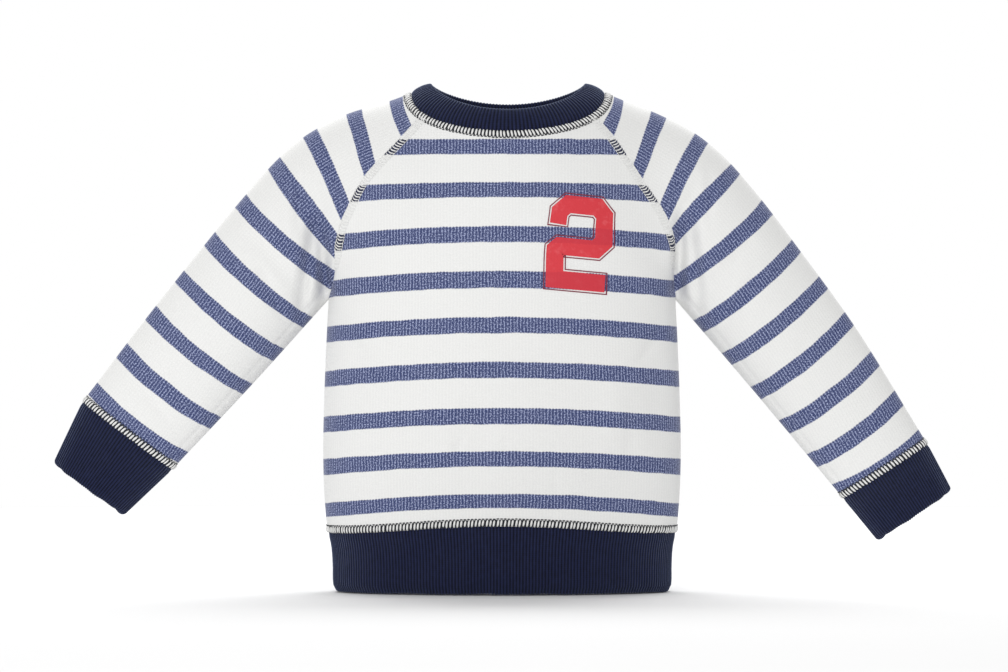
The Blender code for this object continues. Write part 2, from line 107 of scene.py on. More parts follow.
# height, distance out
raglanLine = {
    "right": (
        (-162.4, 139.0), (-146.0, 134.8), (-129.0, 131.4), (-118.0, 129.4), (-104.0, 126.2),
        (-92.0, 120.8), (-74.0, 112.0), (-42.5, 88.8), (-23.5, 72.6), (-14.8, 64.8),
    ),
    "left": (
        (-162.4, 139.0), (-146.0, 137.8), (-127.0, 136.4), (-115.0, 134.6), (-99.6, 129.0),
        (-88.6, 123.0), (-74.0, 113.0), (-42.5, 88.8), (-23.5, 72.6), (-14.8, 64.8),
    ),
}

cuffEnd = {
    "right": {"upper": (360.6, -294.0), "under": (304.6, -335.6), "back": 12.0},
    "left": {"upper": (362.0, -315.6), "under": (302.8, -356.0), "back": 20.0},
}

# Folds on each face: start across and up, end across and up, half width, depth, below 0 for ridges
folds = {
    "front": (
        (-142.0, -150.0, -160.0, -62.0, 9.0, 3.6), (-156.0, -158.0, -204.0, -104.0, 9.0, 2.6),
        (143.0, -152.0, 153.0, -58.0, 8.5, 3.4), (158.0, -164.0, 201.0, -112.0, 9.5, 2.8),
        (-20.0, -228.0, -17.0, -322.0, 12.0, 1.5), (92.0, -214.0, 86.0, -300.0, 13.0, -1.8),
        (120.0, -168.0, 124.0, -286.0, 11.0, 1.8), (-112.0, -190.0, -118.0, -262.0, 14.0, 1.6),
    ),
    "back": (
        (-142.0, -152.0, -156.0, -66.0, 9.0, 3.2), (-158.0, -162.0, -200.0, -118.0, 9.5, 2.6),
        (142.0, -150.0, 160.0, -74.0, 9.0, 3.4), (155.0, -160.0, 206.0, -108.0, 9.0, 2.4),
        (-64.0, -236.0, -58.0, -318.0, 14.0, 1.8), (38.0, -96.0, 26.0, -178.0, 15.0, 1.4),
        (84.0, -226.0, 92.0, -312.0, 13.0, -1.7),
    ),
}

# Finer creases that only the cloth carries, same columns
creases = {
    "front": (
        (-140.0, -190.0, -144.0, -92.0, 5.5, 11.0), (-162.0, -184.0, -148.0, -92.0, 4.8, 7.0),
        (-168.0, -186.0, -196.0, -130.0, 4.6, 2.2), (-133.0, -176.0, -104.0, -212.0, 5.0, 1.6),
        (-163.0, -112.0, -160.0, -58.0, 4.4, 1.6), (141.0, -190.0, 142.0, -84.0, 5.5, 11.0),
        (158.0, -178.0, 149.0, -90.0, 4.8, 5.6), (172.0, -190.0, 204.0, -138.0, 4.6, 2.2),
        (131.0, -178.0, 102.0, -222.0, 5.0, 1.6), (164.0, -110.0, 166.0, -52.0, 4.4, 1.6),
        (-36.0, -244.0, -30.0, -326.0, 5.0, 0.9), (-26.0, -262.0, -46.0, -302.0, 3.4, 0.8),
        (9.0, -268.0, -12.0, -306.0, 3.4, 0.7), (76.0, -262.0, 90.0, -280.0, 3.2, 0.6),
        (44.0, -286.0, 40.0, -336.0, 4.0, 0.7), (104.0, -236.0, 99.0, -308.0, 5.0, 0.9),
        (-86.0, -296.0, -90.0, -338.0, 4.0, 0.7), (-262.0, -262.0, -292.0, -226.0, 4.0, 0.9),
        (-236.0, -226.0, -252.0, -190.0, 5.0, 0.8), (268.0, -288.0, 298.0, -248.0, 4.0, 0.9),
        (232.0, -232.0, 244.0, -190.0, 5.0, 0.8),
    ),
    "back": (
        (-147.0, -144.0, -170.0, -100.0, 3.4, 1.3), (146.0, -146.0, 168.0, -98.0, 3.6, 1.2),
        (-138.0, -168.0, -110.0, -210.0, 4.6, 1.0), (136.0, -170.0, 112.0, -208.0, 4.4, 0.9),
        (-24.0, -258.0, -30.0, -330.0, 5.0, 0.8), (52.0, -268.0, 48.0, -334.0, 5.0, 0.8),
        (-20.0, -30.0, -46.0, -74.0, 6.0, 0.7), (266.0, -284.0, 296.0, -246.0, 4.0, 0.9),
        (-258.0, -262.0, -288.0, -224.0, 4.0, 0.9),
    ),
}


def throughKnots(knots, x):
    # Cubic through the knots with slopes from their neighbours, straight beyond both ends
    knotX, knotY = np.array(knots, dtype=float).T
    slopes = np.gradient(knotY, knotX)
    x = np.asarray(x, dtype=float)
    inside = np.clip(x, knotX[0], knotX[-1])
    left = np.clip(np.searchsorted(knotX, inside, side="right") - 1, 0, len(knotX) - 2)
    width = knotX[left + 1] - knotX[left]
    t = (inside - knotX[left]) / width
    value = (1 - t) ** 2 * (1 + 2 * t) * knotY[left] + t ** 2 * (3 - 2 * t) * knotY[left + 1]
    value = value + t * (1 - t) ** 2 * width * slopes[left] - t ** 2 * (1 - t) * width * slopes[left + 1]
    endSlope = np.where(x > knotX[-1], slopes[-1], slopes[0])
    return value + (x - inside) * endSlope


def smoothStep(t):
    t = np.clip(t, 0.0, 1.0)
    return t * t * (3.0 - 2.0 * t)


def bySide(tables, x):
    left, right = (throughKnots(tables[side], np.abs(x)) for side in ("left", "right"))
    return np.where(np.asarray(x) > 0, left, right)


def unitVectors(vectors):
    return vectors / np.maximum(np.linalg.norm(vectors, axis=-1, keepdims=True), 1e-12)


def halfWidthAt(z):
    return throughKnots(bodySections[:, :2], z)


def halfDepthAt(z):
    return throughKnots(bodySections[:, ::2], z)


def creaseDepth(table, x, z, face):
    # Each fold is a bell across its line and an arch along it
    total = np.zeros(np.shape(x))
    for startX, startZ, endX, endZ, halfWidth, depth in table[face]:
        runX, runZ = endX - startX, endZ - startZ
        length = math.hypot(runX, runZ)
        along = ((x - startX) * runX + (z - startZ) * runZ) / length ** 2
        across = ((x - startX) * runZ - (z - startZ) * runX) / length
        fade = np.clip(4.0 * along * (1.0 - along), 0.0, None)
        total = total + depth * fade * np.exp(-(across / halfWidth) ** 2)
    return total


def clothSwell(x, z, face):
    # Slow unevenness of soft cloth: three crossed waves, under half a millimetre each
    turn = 0.0 if face == "front" else 1.7
    return (0.40 * np.sin(x / 26.0 + z / 61.0 + turn) + 0.30 * np.sin(x / 47.0 - z / 33.0 + 2.0 * turn)
            + 0.18 * np.sin(x / 13.0 + z / 19.0 + 0.6 + turn))


def formDepth(x, z, face):
    # Trunk and sleeve as ellipses, joined by a power mean, less the folds
    across = np.sqrt(np.clip(1.0 - (x / halfWidthAt(z)) ** 2, 0.0, 1.0))
    below = np.clip((bySide(outerLine, x) - z) / garment["shoulderRound"], 0.0, 1.0)
    trunk = halfDepthAt(z) * across * np.sqrt(1.0 - (1.0 - below) ** 2)
    toUpper = np.clip(bySide(outerLine, x) - z, 0.0, None)
    toUnder = np.clip(z - bySide(underEdge, x), 0.0, None)
    oval = 2.0 * np.sqrt(toUpper * toUnder) / np.maximum(toUpper + toUnder, 1e-9)
    arm = throughKnots(sleeveHalfDepth, np.abs(x)) * oval
    power = garment["chestUnion"]
    depth = (trunk ** power + arm ** power) ** (1.0 / power)
    relief = creaseDepth(folds, x, z, face) + creaseDepth(creases, x, z, face) - clothSwell(x, z, face)
    return depth - relief * np.clip(depth / garment["foldEdgeDepth"], 0.0, 1.0)


def placed(x, y, z):
    # The neck sits a little to the wearer's left, and the shift fades out over the yoke
    reach = np.hypot(x, z)
    span = garment["neckShiftTo"] - garment["neckShiftFrom"]
    share = 1.0 - smoothStep((reach - garment["neckShiftFrom"]) / span)
    return np.stack((x + garment["neckShift"] * share, y, z), axis=-1)


def neckHeight(out, face):
    roundOff = np.clip(1.0 - (out / garment["neckHalfWidth"]) ** 2, 0.0, 1.0)
    return garment["neckPointHeight"] - garment["neckDrop"][face] * roundOff ** (garment["neckCurve"] / 2.0)


def raglan(t, face, side):
    # Seam from the armpit at 0 to the neck at 1: distance out and height
    cornerOut = garment["neckCorner"][face]
    cornerHeight = float(neckHeight(cornerOut, face))
    height = garment["armpitHeight"] + t * (cornerHeight - garment["armpitHeight"])
    miss = cornerOut - float(throughKnots(raglanLine[side], cornerHeight))
    return throughKnots(raglanLine[side], height) + miss * t ** 4, height


def hemSeam(angle):
    # Level at the middle of the front and the back, lower at the sides
    return garment["hemSeamHeight"] - garment["hemSeamDrop"] * (1.0 - np.cos(angle) ** 4)


def bodyPanel(u, v, face):
    # u across from -1 to 1, v up from the hem seam at 0 over the armpit at 1 to the neck at 2
    lower = np.clip(v, None, 1.0)
    upper = np.clip(v - 1.0, 0.0, None)
    rightOut, seamHeight = raglan(upper, face, "right")
    seamOut = np.where(u < 0.0, rightOut, raglan(upper, face, "left")[0])
    cornerHeight = float(neckHeight(garment["neckCorner"][face], face))
    neckAngle = math.asin(garment["neckCorner"][face] / garment["yokeHalfWidth"])
    neckRow = neckHeight(garment["yokeHalfWidth"] * np.sin(u * neckAngle), face) - cornerHeight
    hem = hemSeam(u * math.pi / 2.0)
    onBody = hem + lower * (garment["armpitHeight"] - hem)
    z = np.where(v < 1.0, onBody, seamHeight + upper ** 2 * neckRow)
    halfWidth = halfWidthAt(z)
    reach = np.where(v < 1.0, math.pi / 2.0, np.arcsin(np.clip(seamOut / halfWidth, -1.0, 1.0)))
    x = halfWidth * np.sin(u * reach)
    turned = np.where(np.cos(u * reach) < 0.0, 1.0, -1.0)
    facing = 1.0 if face == "front" else -1.0
    return placed(x, facing * turned * formDepth(x, z, face), z)


def sleeveLines(u, v, side):
    # Flat layout of a sleeve: out and height, share from the upper edge to the seam, and both ends
    lower = np.clip(v, None, 1.0)
    upper = np.clip(v - 1.0, 0.0, None)
    cuffUpper = upperEdge[side][-1][0]
    cuffUnder = underEdge[side][-1][0]
    edgeKnots = ((0.0, cuffUpper), (1.0, garment["upperTurn"]), (2.0, garment["neckHalfWidth"]))
    edgeOut = throughKnots(edgeKnots, v)
    edgeHeight = throughKnots(outerLine[side], edgeOut)
    underOut = cuffUnder + lower * (garment["armpitOut"] - cuffUnder)
    underHeight = throughKnots(underEdge[side], underOut)
    frontOut, frontHeight = raglan(upper, "front", side)
    backOut, backHeight = raglan(upper, "back", side)
    endOut = np.where(v < 1.0, underOut, np.where(u > 0, frontOut, backOut))
    endHeight = np.where(v < 1.0, underHeight, np.where(u > 0, frontHeight, backHeight))
    sweep = math.pi * (1.0 - 0.5 * np.clip(v - 1.0, 0.0, 1.0))
    share = (1.0 - np.cos(u * sweep)) / (1.0 - np.cos(sweep))
    out = edgeOut + share * (endOut - edgeOut)
    z = edgeHeight + share * (endHeight - edgeHeight)
    neckPoint = garment["neckHalfWidth"]
    bow = smoothStep((v - garment["neckBowStart"]) / (2.0 - garment["neckBowStart"]))
    for face, onFace in (("front", u > 0), ("back", u <= 0)):
        corner = garment["neckCorner"][face]
        cornerTurn = math.acos(corner / neckPoint)
        arcOut = neckPoint * np.cos(cornerTurn * np.clip(share, 0.0, None))
        chordOut = neckPoint + share * (corner - neckPoint)
        pointHeight = garment["neckPointHeight"]
        chordHeight = pointHeight + share * (float(neckHeight(corner, face)) - pointHeight)
        out = out + np.where(onFace, bow * (arcOut - chordOut), 0.0)
        z = z + np.where(onFace, bow * (neckHeight(arcOut, face) - chordHeight), 0.0)
    return out, z, share, edgeOut, endOut, endHeight, sweep


def sleeveTube(u, v, side):
    # u round from the underarm at -1 over the back, the upper edge at 0 and the front to 1,
    # v along from the cuff seam at 0 over the armpit at 1 to the neck at 2
    out, z, *_, sweep = sleeveLines(u, v, side)
    x = out if side == "left" else -out
    depth = np.where(u > 0, formDepth(x, z, "front"), formDepth(x, z, "back"))
    start = garment["sleeveBackStart"]
    span = upperEdge[side][-1][0] - start
    back = garment["sleeveBack"][side] * np.clip((out - start) / span, 0.0, None) ** 2
    y = np.where(np.sin(u * sweep) > 0.0, -depth, depth) + back
    return placed(x, y, z)


def cuffTube(u, v, side):
    # Oval between two edges, v from the seam at 0 to the open end at 1
    end = cuffEnd[side]
    seamUpper = np.array(upperEdge[side][-1])
    seamUnder = np.array(underEdge[side][-1])
    share = (1.0 - np.cos(u * math.pi)) / 2.0
    seamBack = garment["sleeveBack"][side]

    def section(w):
        upper = seamUpper + w[..., None] * (np.array(end["upper"]) - seamUpper)
        under = seamUnder + w[..., None] * (np.array(end["under"]) - seamUnder)
        middle = upper + share[..., None] * (under - upper)
        back = seamBack + w * (end["back"] - seamBack)
        x = middle[..., 0] if side == "left" else -middle[..., 0]
        y = back - garment["cuffHalfDepth"] * np.sin(u * math.pi)
        return np.stack((x, y, middle[..., 1]), axis=-1)

    zero = np.zeros_like(v)
    fade = (np.clip(1.0 - v, 0.0, None) ** 2)[..., None]
    return section(v) + fade * (sleeveTube(u, zero, side) - section(zero))


def hemTube(u, v):
    # Oval rings, u once round in angle from -1 to 1 at the back, v down from the seam to the bottom
    angle = u * math.pi
    seam = hemSeam(angle)
    z = seam + v * (garment["hemBottom"] - seam)
    return np.stack((halfWidthAt(z) * np.sin(angle), -halfDepthAt(z) * np.cos(angle), z), axis=-1)


# Stripes. Heights of the upper and lower edge of each blue stripe down the middle of the front
bodyStripes = (
    (-35.8, -47.8), (-70.1, -81.9), (-104.7, -117.3), (-140.1, -153.5), (-176.3, -188.8),
    (-211.6, -224.2), (-247.8, -260.4), (-281.8, -293.8), (-315.4, -326.4),
)
# height, how far a stripe there drops at the side
stripeDrop = (
    (-325.0, 9.2), (-289.0, 7.3), (-260.0, 7.6), (-180.0, 7.6), (-112.0, 7.0), (-76.0, 3.0), (-35.0, -1.5),
)

# Each sleeve stripe: both edges as distance out on the upper edge, then both as distance down the
# raglan seam and on along the underarm
sleeveStripes = {
    "left": (
        (84.8, 92.2, 25.6, 35.9), (118.4, 131.5, 58.8, 70.0), (154.4, 164.8, 90.4, 104.0),
        (183.2, 190.4, 108.6, 121.2), (208.0, 216.8, 143.2, 156.0), (232.0, 239.2, 177.0, 185.0),
        (253.6, 260.8, 199.4, 207.4), (274.4, 281.6, 222.6, 230.6), (295.2, 302.4, 245.0, 253.8),
        (314.4, 321.6, 267.4, 276.2), (333.6, 339.2, 287.4, 296.2),
    ),
    "right": (
        (84.0, 94.0, 27.2, 36.0), (113.8, 124.9, 57.8, 68.2), (148.0, 159.2, 89.4, 104.0),
        (177.6, 187.2, 112.8, 131.2), (204.8, 213.6, 139.0, 154.4), (229.6, 238.4, 175.4, 182.6),
        (254.4, 261.6, 197.8, 206.6), (276.8, 285.6, 223.4, 230.6), (300.0, 308.8, 248.2, 257.0),
        (324.0, 331.2, 274.6, 282.6),
    ),
}
stripes = {
    "period": 36.0,
    "halfWidth": 0.18,
    "sleeveSag": 0.09,
    "shoulderLift": 0.05,
}


def stripeCount(edges, position):
    # Counts stripes along a line: the edges of stripe k lie at k less and k plus the half width
    edges = np.array(edges, dtype=float)
    counts = np.arange(1, len(edges) + 1)[:, None] + np.array((-1.0, 1.0)) * stripes["halfWidth"]
    knots = edges.ravel()
    marks = counts.ravel()
    firstStep = (marks[2] - marks[0]) / (knots[2] - knots[0])
    lastStep = (marks[-1] - marks[-3]) / (knots[-1] - knots[-3])
    value = np.interp(position, knots, marks)
    value = value + np.clip(position - knots[-1], 0.0, None) * lastStep
    return value - np.clip(knots[0] - position, 0.0, None) * firstStep


def bodyStripe(x, z):
    drop = np.interp(z, *np.array(stripeDrop).T) * (x / garment["yokeHalfWidth"]) ** 2
    return stripeCount(-np.array(bodyStripes), -(z + drop))


def sleeveStripe(u, v, side):
    # Between the counts on the upper edge and on the seam. The middle hangs down on the arm and
    # is drawn up over the shoulder
    share, edgeOut, endOut, endHeight = sleeveLines(u, v, side)[2:6]
    table = np.array(sleeveStripes[side])
    seamPlace = np.where(v < 1.0, -garment["armpitHeight"] + endOut - garment["armpitOut"], -endHeight)
    atUpper = stripeCount(table[:, :2], edgeOut)
    atSeam = stripeCount(table[:, 2:], seamPlace)
    part = np.clip(share, 0.0, 1.0)
    onArm = smoothStep((atUpper - 3.2) / 1.6)
    bow = onArm * stripes["sleeveSag"] - (1.0 - onArm) * stripes["shoulderLift"]
    return atUpper + part * (atSeam - atUpper) - 4.0 * part * (1.0 - part) * bow


def bodyWale(x, z):
    # Wales run straight up the panel, so each keeps its angle round the trunk
    angle = np.arcsin(np.clip(x / halfWidthAt(z), -1.0, 1.0))
    samples = np.linspace(-math.pi / 2.0, math.pi / 2.0, 181)
    halfWidth, halfDepth = garment["yokeHalfWidth"], garment["trunkHalfDepth"]
    speed = np.hypot(halfWidth * np.cos(samples), halfDepth * np.sin(samples))
    length = np.concatenate(([0.0], np.cumsum((speed[1:] + speed[:-1]) / 2.0 * np.diff(samples))))
    return np.interp(angle, samples, length - length[-1] / 2.0)


def bodyUv(points):
    x, z = points[..., 0], points[..., 2]
    return np.stack((bodyWale(x, z), bodyStripe(x, z) * stripes["period"]), axis=-1)


# Meshes
def alongRows(points):
    # Length along each row from its first point, and the length left to its last
    steps = np.linalg.norm(np.diff(points, axis=1), axis=-1)
    length = np.concatenate((np.zeros((len(points), 1)), np.cumsum(steps, axis=1)), axis=1)
    return length, length[:, -1:] - length


def alongColumns(points):
    length, left = alongRows(points.swapaxes(0, 1))
    return length.T, left.T


def evaluated(surface, us, vs, step=2e-3):
    # Grid of surface points with normals from differences to both sides
    u, v = np.meshgrid(us, vs)
    alongU = surface(u + step, v) - surface(u - step, v)
    alongV = surface(u, v + step) - surface(u, v - step)
    return surface(u, v), unitVectors(np.cross(alongU, alongV)), u, v


def bodyObject(name, vertices, faces, corners, uv, material, values=None):
    # Leaves out the points that no face uses. A body whose faces point in has a volume below
    # nothing, so its faces are reversed
    used, compact = np.unique(faces, return_inverse=True)
    vertices = vertices[used]
    faces = compact.reshape(faces.shape)
    a, b, c, d = (vertices[faces[:, k]] for k in range(4))
    if (np.cross(a, b) * c).sum() + (np.cross(a, c) * d).sum() <= 0:
        faces, corners = faces[:, ::-1], corners[:, ::-1]
    mesh = bpy.data.meshes.new(name)
    mesh.from_pydata((vertices * millimetre).tolist(), [], faces.tolist())
    layer = mesh.uv_layers.new(name="cloth")
    layer.data.foreach_set("uv", (uv[corners] / 100.0).astype(np.float32).ravel())
    for key, value in (values or {}).items():
        attribute = mesh.attributes.new(key, "FLOAT", "POINT")
        attribute.data.foreach_set("value", np.full(len(vertices), value, dtype=np.float32))
    mesh.shade_smooth()
    mesh.set_sharp_from_angle(angle=math.radians(55.0))
    mesh.materials.append(material)
    item = bpy.data.objects.new(name, mesh)
    bpy.context.scene.collection.objects.link(item)
    return item


def gridIndex(shape, ringed=False):
    # Numbers a grid's points. In a ring the last column is the first again
    index = np.arange(shape[0] * shape[1]).reshape(shape[:2])
    if ringed:
        index[:, -1] = index[:, 0]
    return index


def gridFaces(index):
    corners = (index[:-1, :-1], index[:-1, 1:], index[1:, 1:], index[1:, :-1])
    return np.stack(corners, axis=-1).reshape(-1, 4)


def shellFaces(quads, count):
    # The quads, the same reversed on the inner points, and a rim along every open edge
    edges = np.stack((quads, np.roll(quads, -1, axis=1)), axis=-1).reshape(-1, 2)
    keys = edges.min(axis=1) * count + edges.max(axis=1)
    first, times = np.unique(keys, return_index=True, return_counts=True)[1:]
    start, end = edges[first[times == 1]].T
    rims = np.stack((end, start, start + count, end + count), axis=-1)
    return np.concatenate((quads, quads[:, ::-1] + count, rims)), rims


def closedWall(name, outer, inner, uv, material, weld=None):
    # Two grids back to back. weld gives the grid's own indices where the sheet meets itself
    plain = gridIndex(outer.shape)
    faces, rims = shellFaces(gridFaces(plain if weld is None else weld), plain.size)
    quads = gridFaces(plain)
    corners = np.concatenate((quads, quads[:, ::-1], rims % plain.size))
    vertices = np.concatenate((outer.reshape(-1, 3), inner.reshape(-1, 3)))
    return bodyObject(name, vertices, faces, corners, uv.reshape(-1, 2), material)


def closedRing(name, points, uv, material):
    # A grid whose last column is its first and whose last row joins its first
    weld = gridIndex(points.shape, True)
    weld[-1] = weld[0]
    corners = gridFaces(gridIndex(points.shape))
    return bodyObject(name, points.reshape(-1, 3), gridFaces(weld), corners, uv.reshape(-1, 2), material)


def clothArea(item):
    # Half of a closed shell's surface is the cloth it is made of, in square metres
    areas = np.empty(len(item.data.polygons))
    item.data.polygons.foreach_get("area", areas)
    return round(float(areas.sum()) / 2.0, 4)


def measured(item, points):
    # Prints the longest row and column of the piece's surface and the cloth it takes
    spans = (alongRows(points)[0][:, -1].max(), alongColumns(points)[0][-1].max())
    print(item.name, [round(float(a)) for a in spans], "mm at most,", clothArea(item), "square metres")
    return item


def seamValley(distance, depth, width):
    return -depth * np.exp(-(distance / width) ** 2)


def pucker(along, distance):
    # Uneven little gathers square to a seam, which die away from it
    pitch = panels["puckerPitch"]
    wave = np.sin(2.0 * math.pi * along / pitch + 1.3 * np.sin(along / (2.9 * pitch)))
    fade = np.exp(-distance / panels["puckerReach"]) * (1.0 - np.exp(-(distance / 1.5) ** 2))
    return panels["pucker"] * wave * fade


# Materials
def addNode(tree, kind, values=None, **settings):
    made = tree.nodes.new("ShaderNode" + kind)
    for key, value in settings.items():
        setattr(made, key, value)
    for key, value in (values or {}).items():
        if isinstance(value, bpy.types.NodeSocket):
            tree.links.new(value, made.inputs[key])
        else:
            made.inputs[key].default_value = value
    return made


def calc(tree, operation, a, b=0.0, c=0.0):
    return addNode(tree, "Math", {0: a, 1: b, 2: c}, operation=operation).outputs[0]


def blendColour(tree, share, first, second):
    made = addNode(tree, "Mix", {0: share, 6: first, 7: second}, data_type="RGBA", blend_type="MIX")
    return made.outputs[2]


def ease(tree, value, low, high, toLow=0.0, toHigh=1.0):
    span = {0: value, 1: low, 2: high, 3: toLow, 4: toHigh}
    return addNode(tree, "MapRange", span, interpolation_type="SMOOTHSTEP").outputs[0]


def noiseAt(tree, vector, scale, detail=2.0, roughness=0.5):
    look = {"Vector": vector, "Scale": scale, "Detail": detail, "Roughness": roughness}
    return addNode(tree, "TexNoise", look).outputs["Fac"]


def waveOf(tree, turns):
    # A cosine of whole turns, from 0 to 1
    wave = calc(tree, "COSINE", calc(tree, "MULTIPLY", turns, 2.0 * math.pi))
    return calc(tree, "MULTIPLY_ADD", wave, 0.5, 0.5)


def newGroup(name, inputs, outputs):
    group = bpy.data.node_groups.new(name, "ShaderNodeTree")
    for label, kind, value in inputs:
        socket = group.interface.new_socket(label, in_out="INPUT", socket_type=kind)
        if value is not None:
            socket.default_value = value
    for label, kind in outputs:
        group.interface.new_socket(label, in_out="OUTPUT", socket_type=kind)
    return group, group.nodes.new("NodeGroupInput"), group.nodes.new("NodeGroupOutput")


def finishGroup(group, result, values):
    for key, value in values.items():
        group.links.new(value, result.inputs[key])
    return group


def useGroup(tree, group, values):
    return addNode(tree, "Group", values, node_tree=group)


loops = {
    "driftScale": 0.16,
    "waleDrift": 1.6,
    "courseDrift": 2.2,
    "fineScale": 1.4,
    "streakStretch": (1.25, 0.85),
    "columnPower": 3.0,
    "crestHighlightShare": 0.16,
    "fleckSpan": (0.42, 0.74),
    "loopHeight": 0.7,
    "fineHeight": 0.25,
}


def knitGroup():
    # Jersey loops: rounded wales side by side, each crossed by shorter courses, a little uneven.
    # height is the bump, loop the raised centre of each stitch, fleck a scatter of paler yarn that gathers
    # on the wale crests as a painted highlight
    group, given, result = newGroup("knitLoops", (
        ("wale", "NodeSocketFloat", None), ("course", "NodeSocketFloat", None),
        ("walePitch", "NodeSocketFloat", 2.6), ("coursePitch", "NodeSocketFloat", 2.2),
    ), (("height", "NodeSocketFloat"), ("loop", "NodeSocketFloat"), ("fleck", "NodeSocketFloat")))
    wale, course = given.outputs["wale"], given.outputs["course"]
    place = addNode(group, "CombineXYZ", {0: wale, 1: course}).outputs[0]
    drift = noiseAt(group, place, loops["driftScale"])
    waleAt = calc(group, "MULTIPLY_ADD", drift, loops["waleDrift"], wale)
    courseAt = calc(group, "MULTIPLY_ADD", drift, loops["courseDrift"], course)
    waleWave = waveOf(group, calc(group, "DIVIDE", waleAt, given.outputs["walePitch"]))
    courseWave = waveOf(group, calc(group, "DIVIDE", courseAt, given.outputs["coursePitch"]))
    loop = calc(group, "MULTIPLY", waleWave, courseWave)
    fine = noiseAt(group, place, loops["fineScale"], 3.0, 0.6)
    drawn = [calc(group, "MULTIPLY", a, b) for a, b in zip((wale, course), loops["streakStretch"])]
    streak = noiseAt(group, addNode(group, "CombineXYZ", dict(enumerate(drawn))).outputs[0], 1.0, 1.0, 0.6)
    # Painted highlight: flecks gather on the wale crests
    column = calc(group, "POWER", waleWave, loops["columnPower"])
    scatter = calc(group, "MULTIPLY_ADD", column, loops["crestHighlightShare"], streak)
    fleck = ease(group, scatter, *loops["fleckSpan"])
    fineHeight = calc(group, "MULTIPLY", fine, loops["fineHeight"])
    height = calc(group, "MULTIPLY_ADD", loop, loops["loopHeight"], fineHeight)
    return finishGroup(group, result, {"height": height, "loop": loop, "fleck": fleck})


fibre = {
    "cloudScale": 45.0,
    "cloudShare": 0.6,
    "fleckScale": 900.0,
    "fleckSpan": (0.58, 0.74),
    "fleckShare": 0.7,
    "pale": (0.86, 0.87, 0.90, 1.0),
}


def fuzzGroup():
    # Loose surface fibre: a slow cloudiness and fine flecks that lighten any cloth a little
    group, given, result = newGroup("surfaceFuzz", (
        ("colour", "NodeSocketColor", (0.8, 0.8, 0.8, 1.0)), ("amount", "NodeSocketFloat", 0.1),
        ("place", "NodeSocketVector", None),
    ), (("colour", "NodeSocketColor"), ("height", "NodeSocketFloat")))
    place = given.outputs["place"]
    cloud = noiseAt(group, place, fibre["cloudScale"], 3.0)
    fleck = ease(group, noiseAt(group, place, fibre["fleckScale"], 2.0, 0.7), *fibre["fleckSpan"])
    cloudy = calc(group, "MULTIPLY", cloud, fibre["cloudShare"])
    lift = calc(group, "MULTIPLY_ADD", fleck, fibre["fleckShare"], cloudy)
    lift = calc(group, "MULTIPLY", lift, given.outputs["amount"])
    colour = blendColour(group, lift, given.outputs["colour"], fibre["pale"])
    return finishGroup(group, result, {"colour": colour, "height": fleck})


def clothShader(name, roughness, sheen, sheenRoughness=0.45, specular=0.2):
    material = bpy.data.materials.new(name)
    material.use_nodes = True
    shader = material.node_tree.nodes["Principled BSDF"]
    shader.inputs["Roughness"].default_value = roughness
    shader.inputs["Metallic"].default_value = 0.0
    shader.inputs["Specular IOR Level"].default_value = specular
    shader.inputs["Sheen Weight"].default_value = sheen
    shader.inputs["Sheen Roughness"].default_value = sheenRoughness
    return material, material.node_tree, shader


def bumpInto(tree, shader, height, distance):
    made = addNode(tree, "Bump", {"Height": height, "Distance": distance * millimetre, "Strength": 1.0})
    tree.links.new(made.outputs["Normal"], shader.inputs["Normal"])


def clothPlace(tree):
    # The piece's own map in millimetres: x along the courses, y in stripe periods times the period
    uv = addNode(tree, "UVMap", uv_map="cloth").outputs[0]
    apart = addNode(tree, "SeparateXYZ", {0: uv})
    return [calc(tree, "MULTIPLY", apart.outputs[k], 100.0) for k in range(2)]


def objectPlace(tree):
    return addNode(tree, "TexCoord").outputs["Object"]


jersey = {
    "white": (0.760, 0.760, 0.747, 1.0),
    "whiteShade": (0.722, 0.722, 0.712, 1.0),
    "blueDeep": (0.032, 0.046, 0.134, 1.0),
    "blueLight": (0.330, 0.370, 0.560, 1.0),
    # Painted shade: darker blues for the ribbon under the raglan stitches, standing for shade between the
    # threads
    "seamDeepShade": (0.012, 0.015, 0.035, 1.0),
    "seamPaleShade": (0.040, 0.048, 0.110, 1.0),
    "walePitch": 2.6,
    "coursePitch": 2.3,
    "edgeScale": 0.045,
    "edgeWander": 0.030,
    "edgeTeeth": 0.005,
    "edgeSoftness": 0.014,
    "loopHighlightShare": 0.26,
    "blueSpan": (0.38, 1.16),
    "whiteSpan": (0.2, 0.7),
    "fuzz": 0.05,
    "fuzzHeight": 0.3,
    "bump": 0.13,
    "stain": (0.86, 0.52, 0.52, 1.0),
    "stainPlace": (-0.0855, -0.060, -0.3300),
    "stainRadius": 0.0026,
    "stainShare": 0.5,
}


def stripeMask(tree, wale, course):
    # 1 on blue. The edges wander slowly and have a tooth at every wale
    place = addNode(tree, "CombineXYZ", {0: wale, 1: course}).outputs[0]
    wander = calc(tree, "SUBTRACT", noiseAt(tree, place, jersey["edgeScale"], 3.0, 0.6), 0.5)
    teeth = calc(tree, "SINE", calc(tree, "MULTIPLY", wale, 2.0 * math.pi / jersey["walePitch"]))
    count = calc(tree, "DIVIDE", course, stripes["period"])
    count = calc(tree, "MULTIPLY_ADD", wander, jersey["edgeWander"] * 2.0, count)
    count = calc(tree, "MULTIPLY_ADD", teeth, jersey["edgeTeeth"], count)
    fraction = calc(tree, "FRACT", calc(tree, "ADD", count, 0.5))
    fromMiddle = calc(tree, "ABSOLUTE", calc(tree, "SUBTRACT", fraction, 0.5))
    half, soft = stripes["halfWidth"], jersey["edgeSoftness"]
    return ease(tree, fromMiddle, half - soft, half + soft, 1.0, 0.0)


def knitUnder(tree, wale, course):
    return useGroup(tree, knits, {"wale": wale, "course": course, "walePitch": jersey["walePitch"],
                                  "coursePitch": jersey["coursePitch"]})


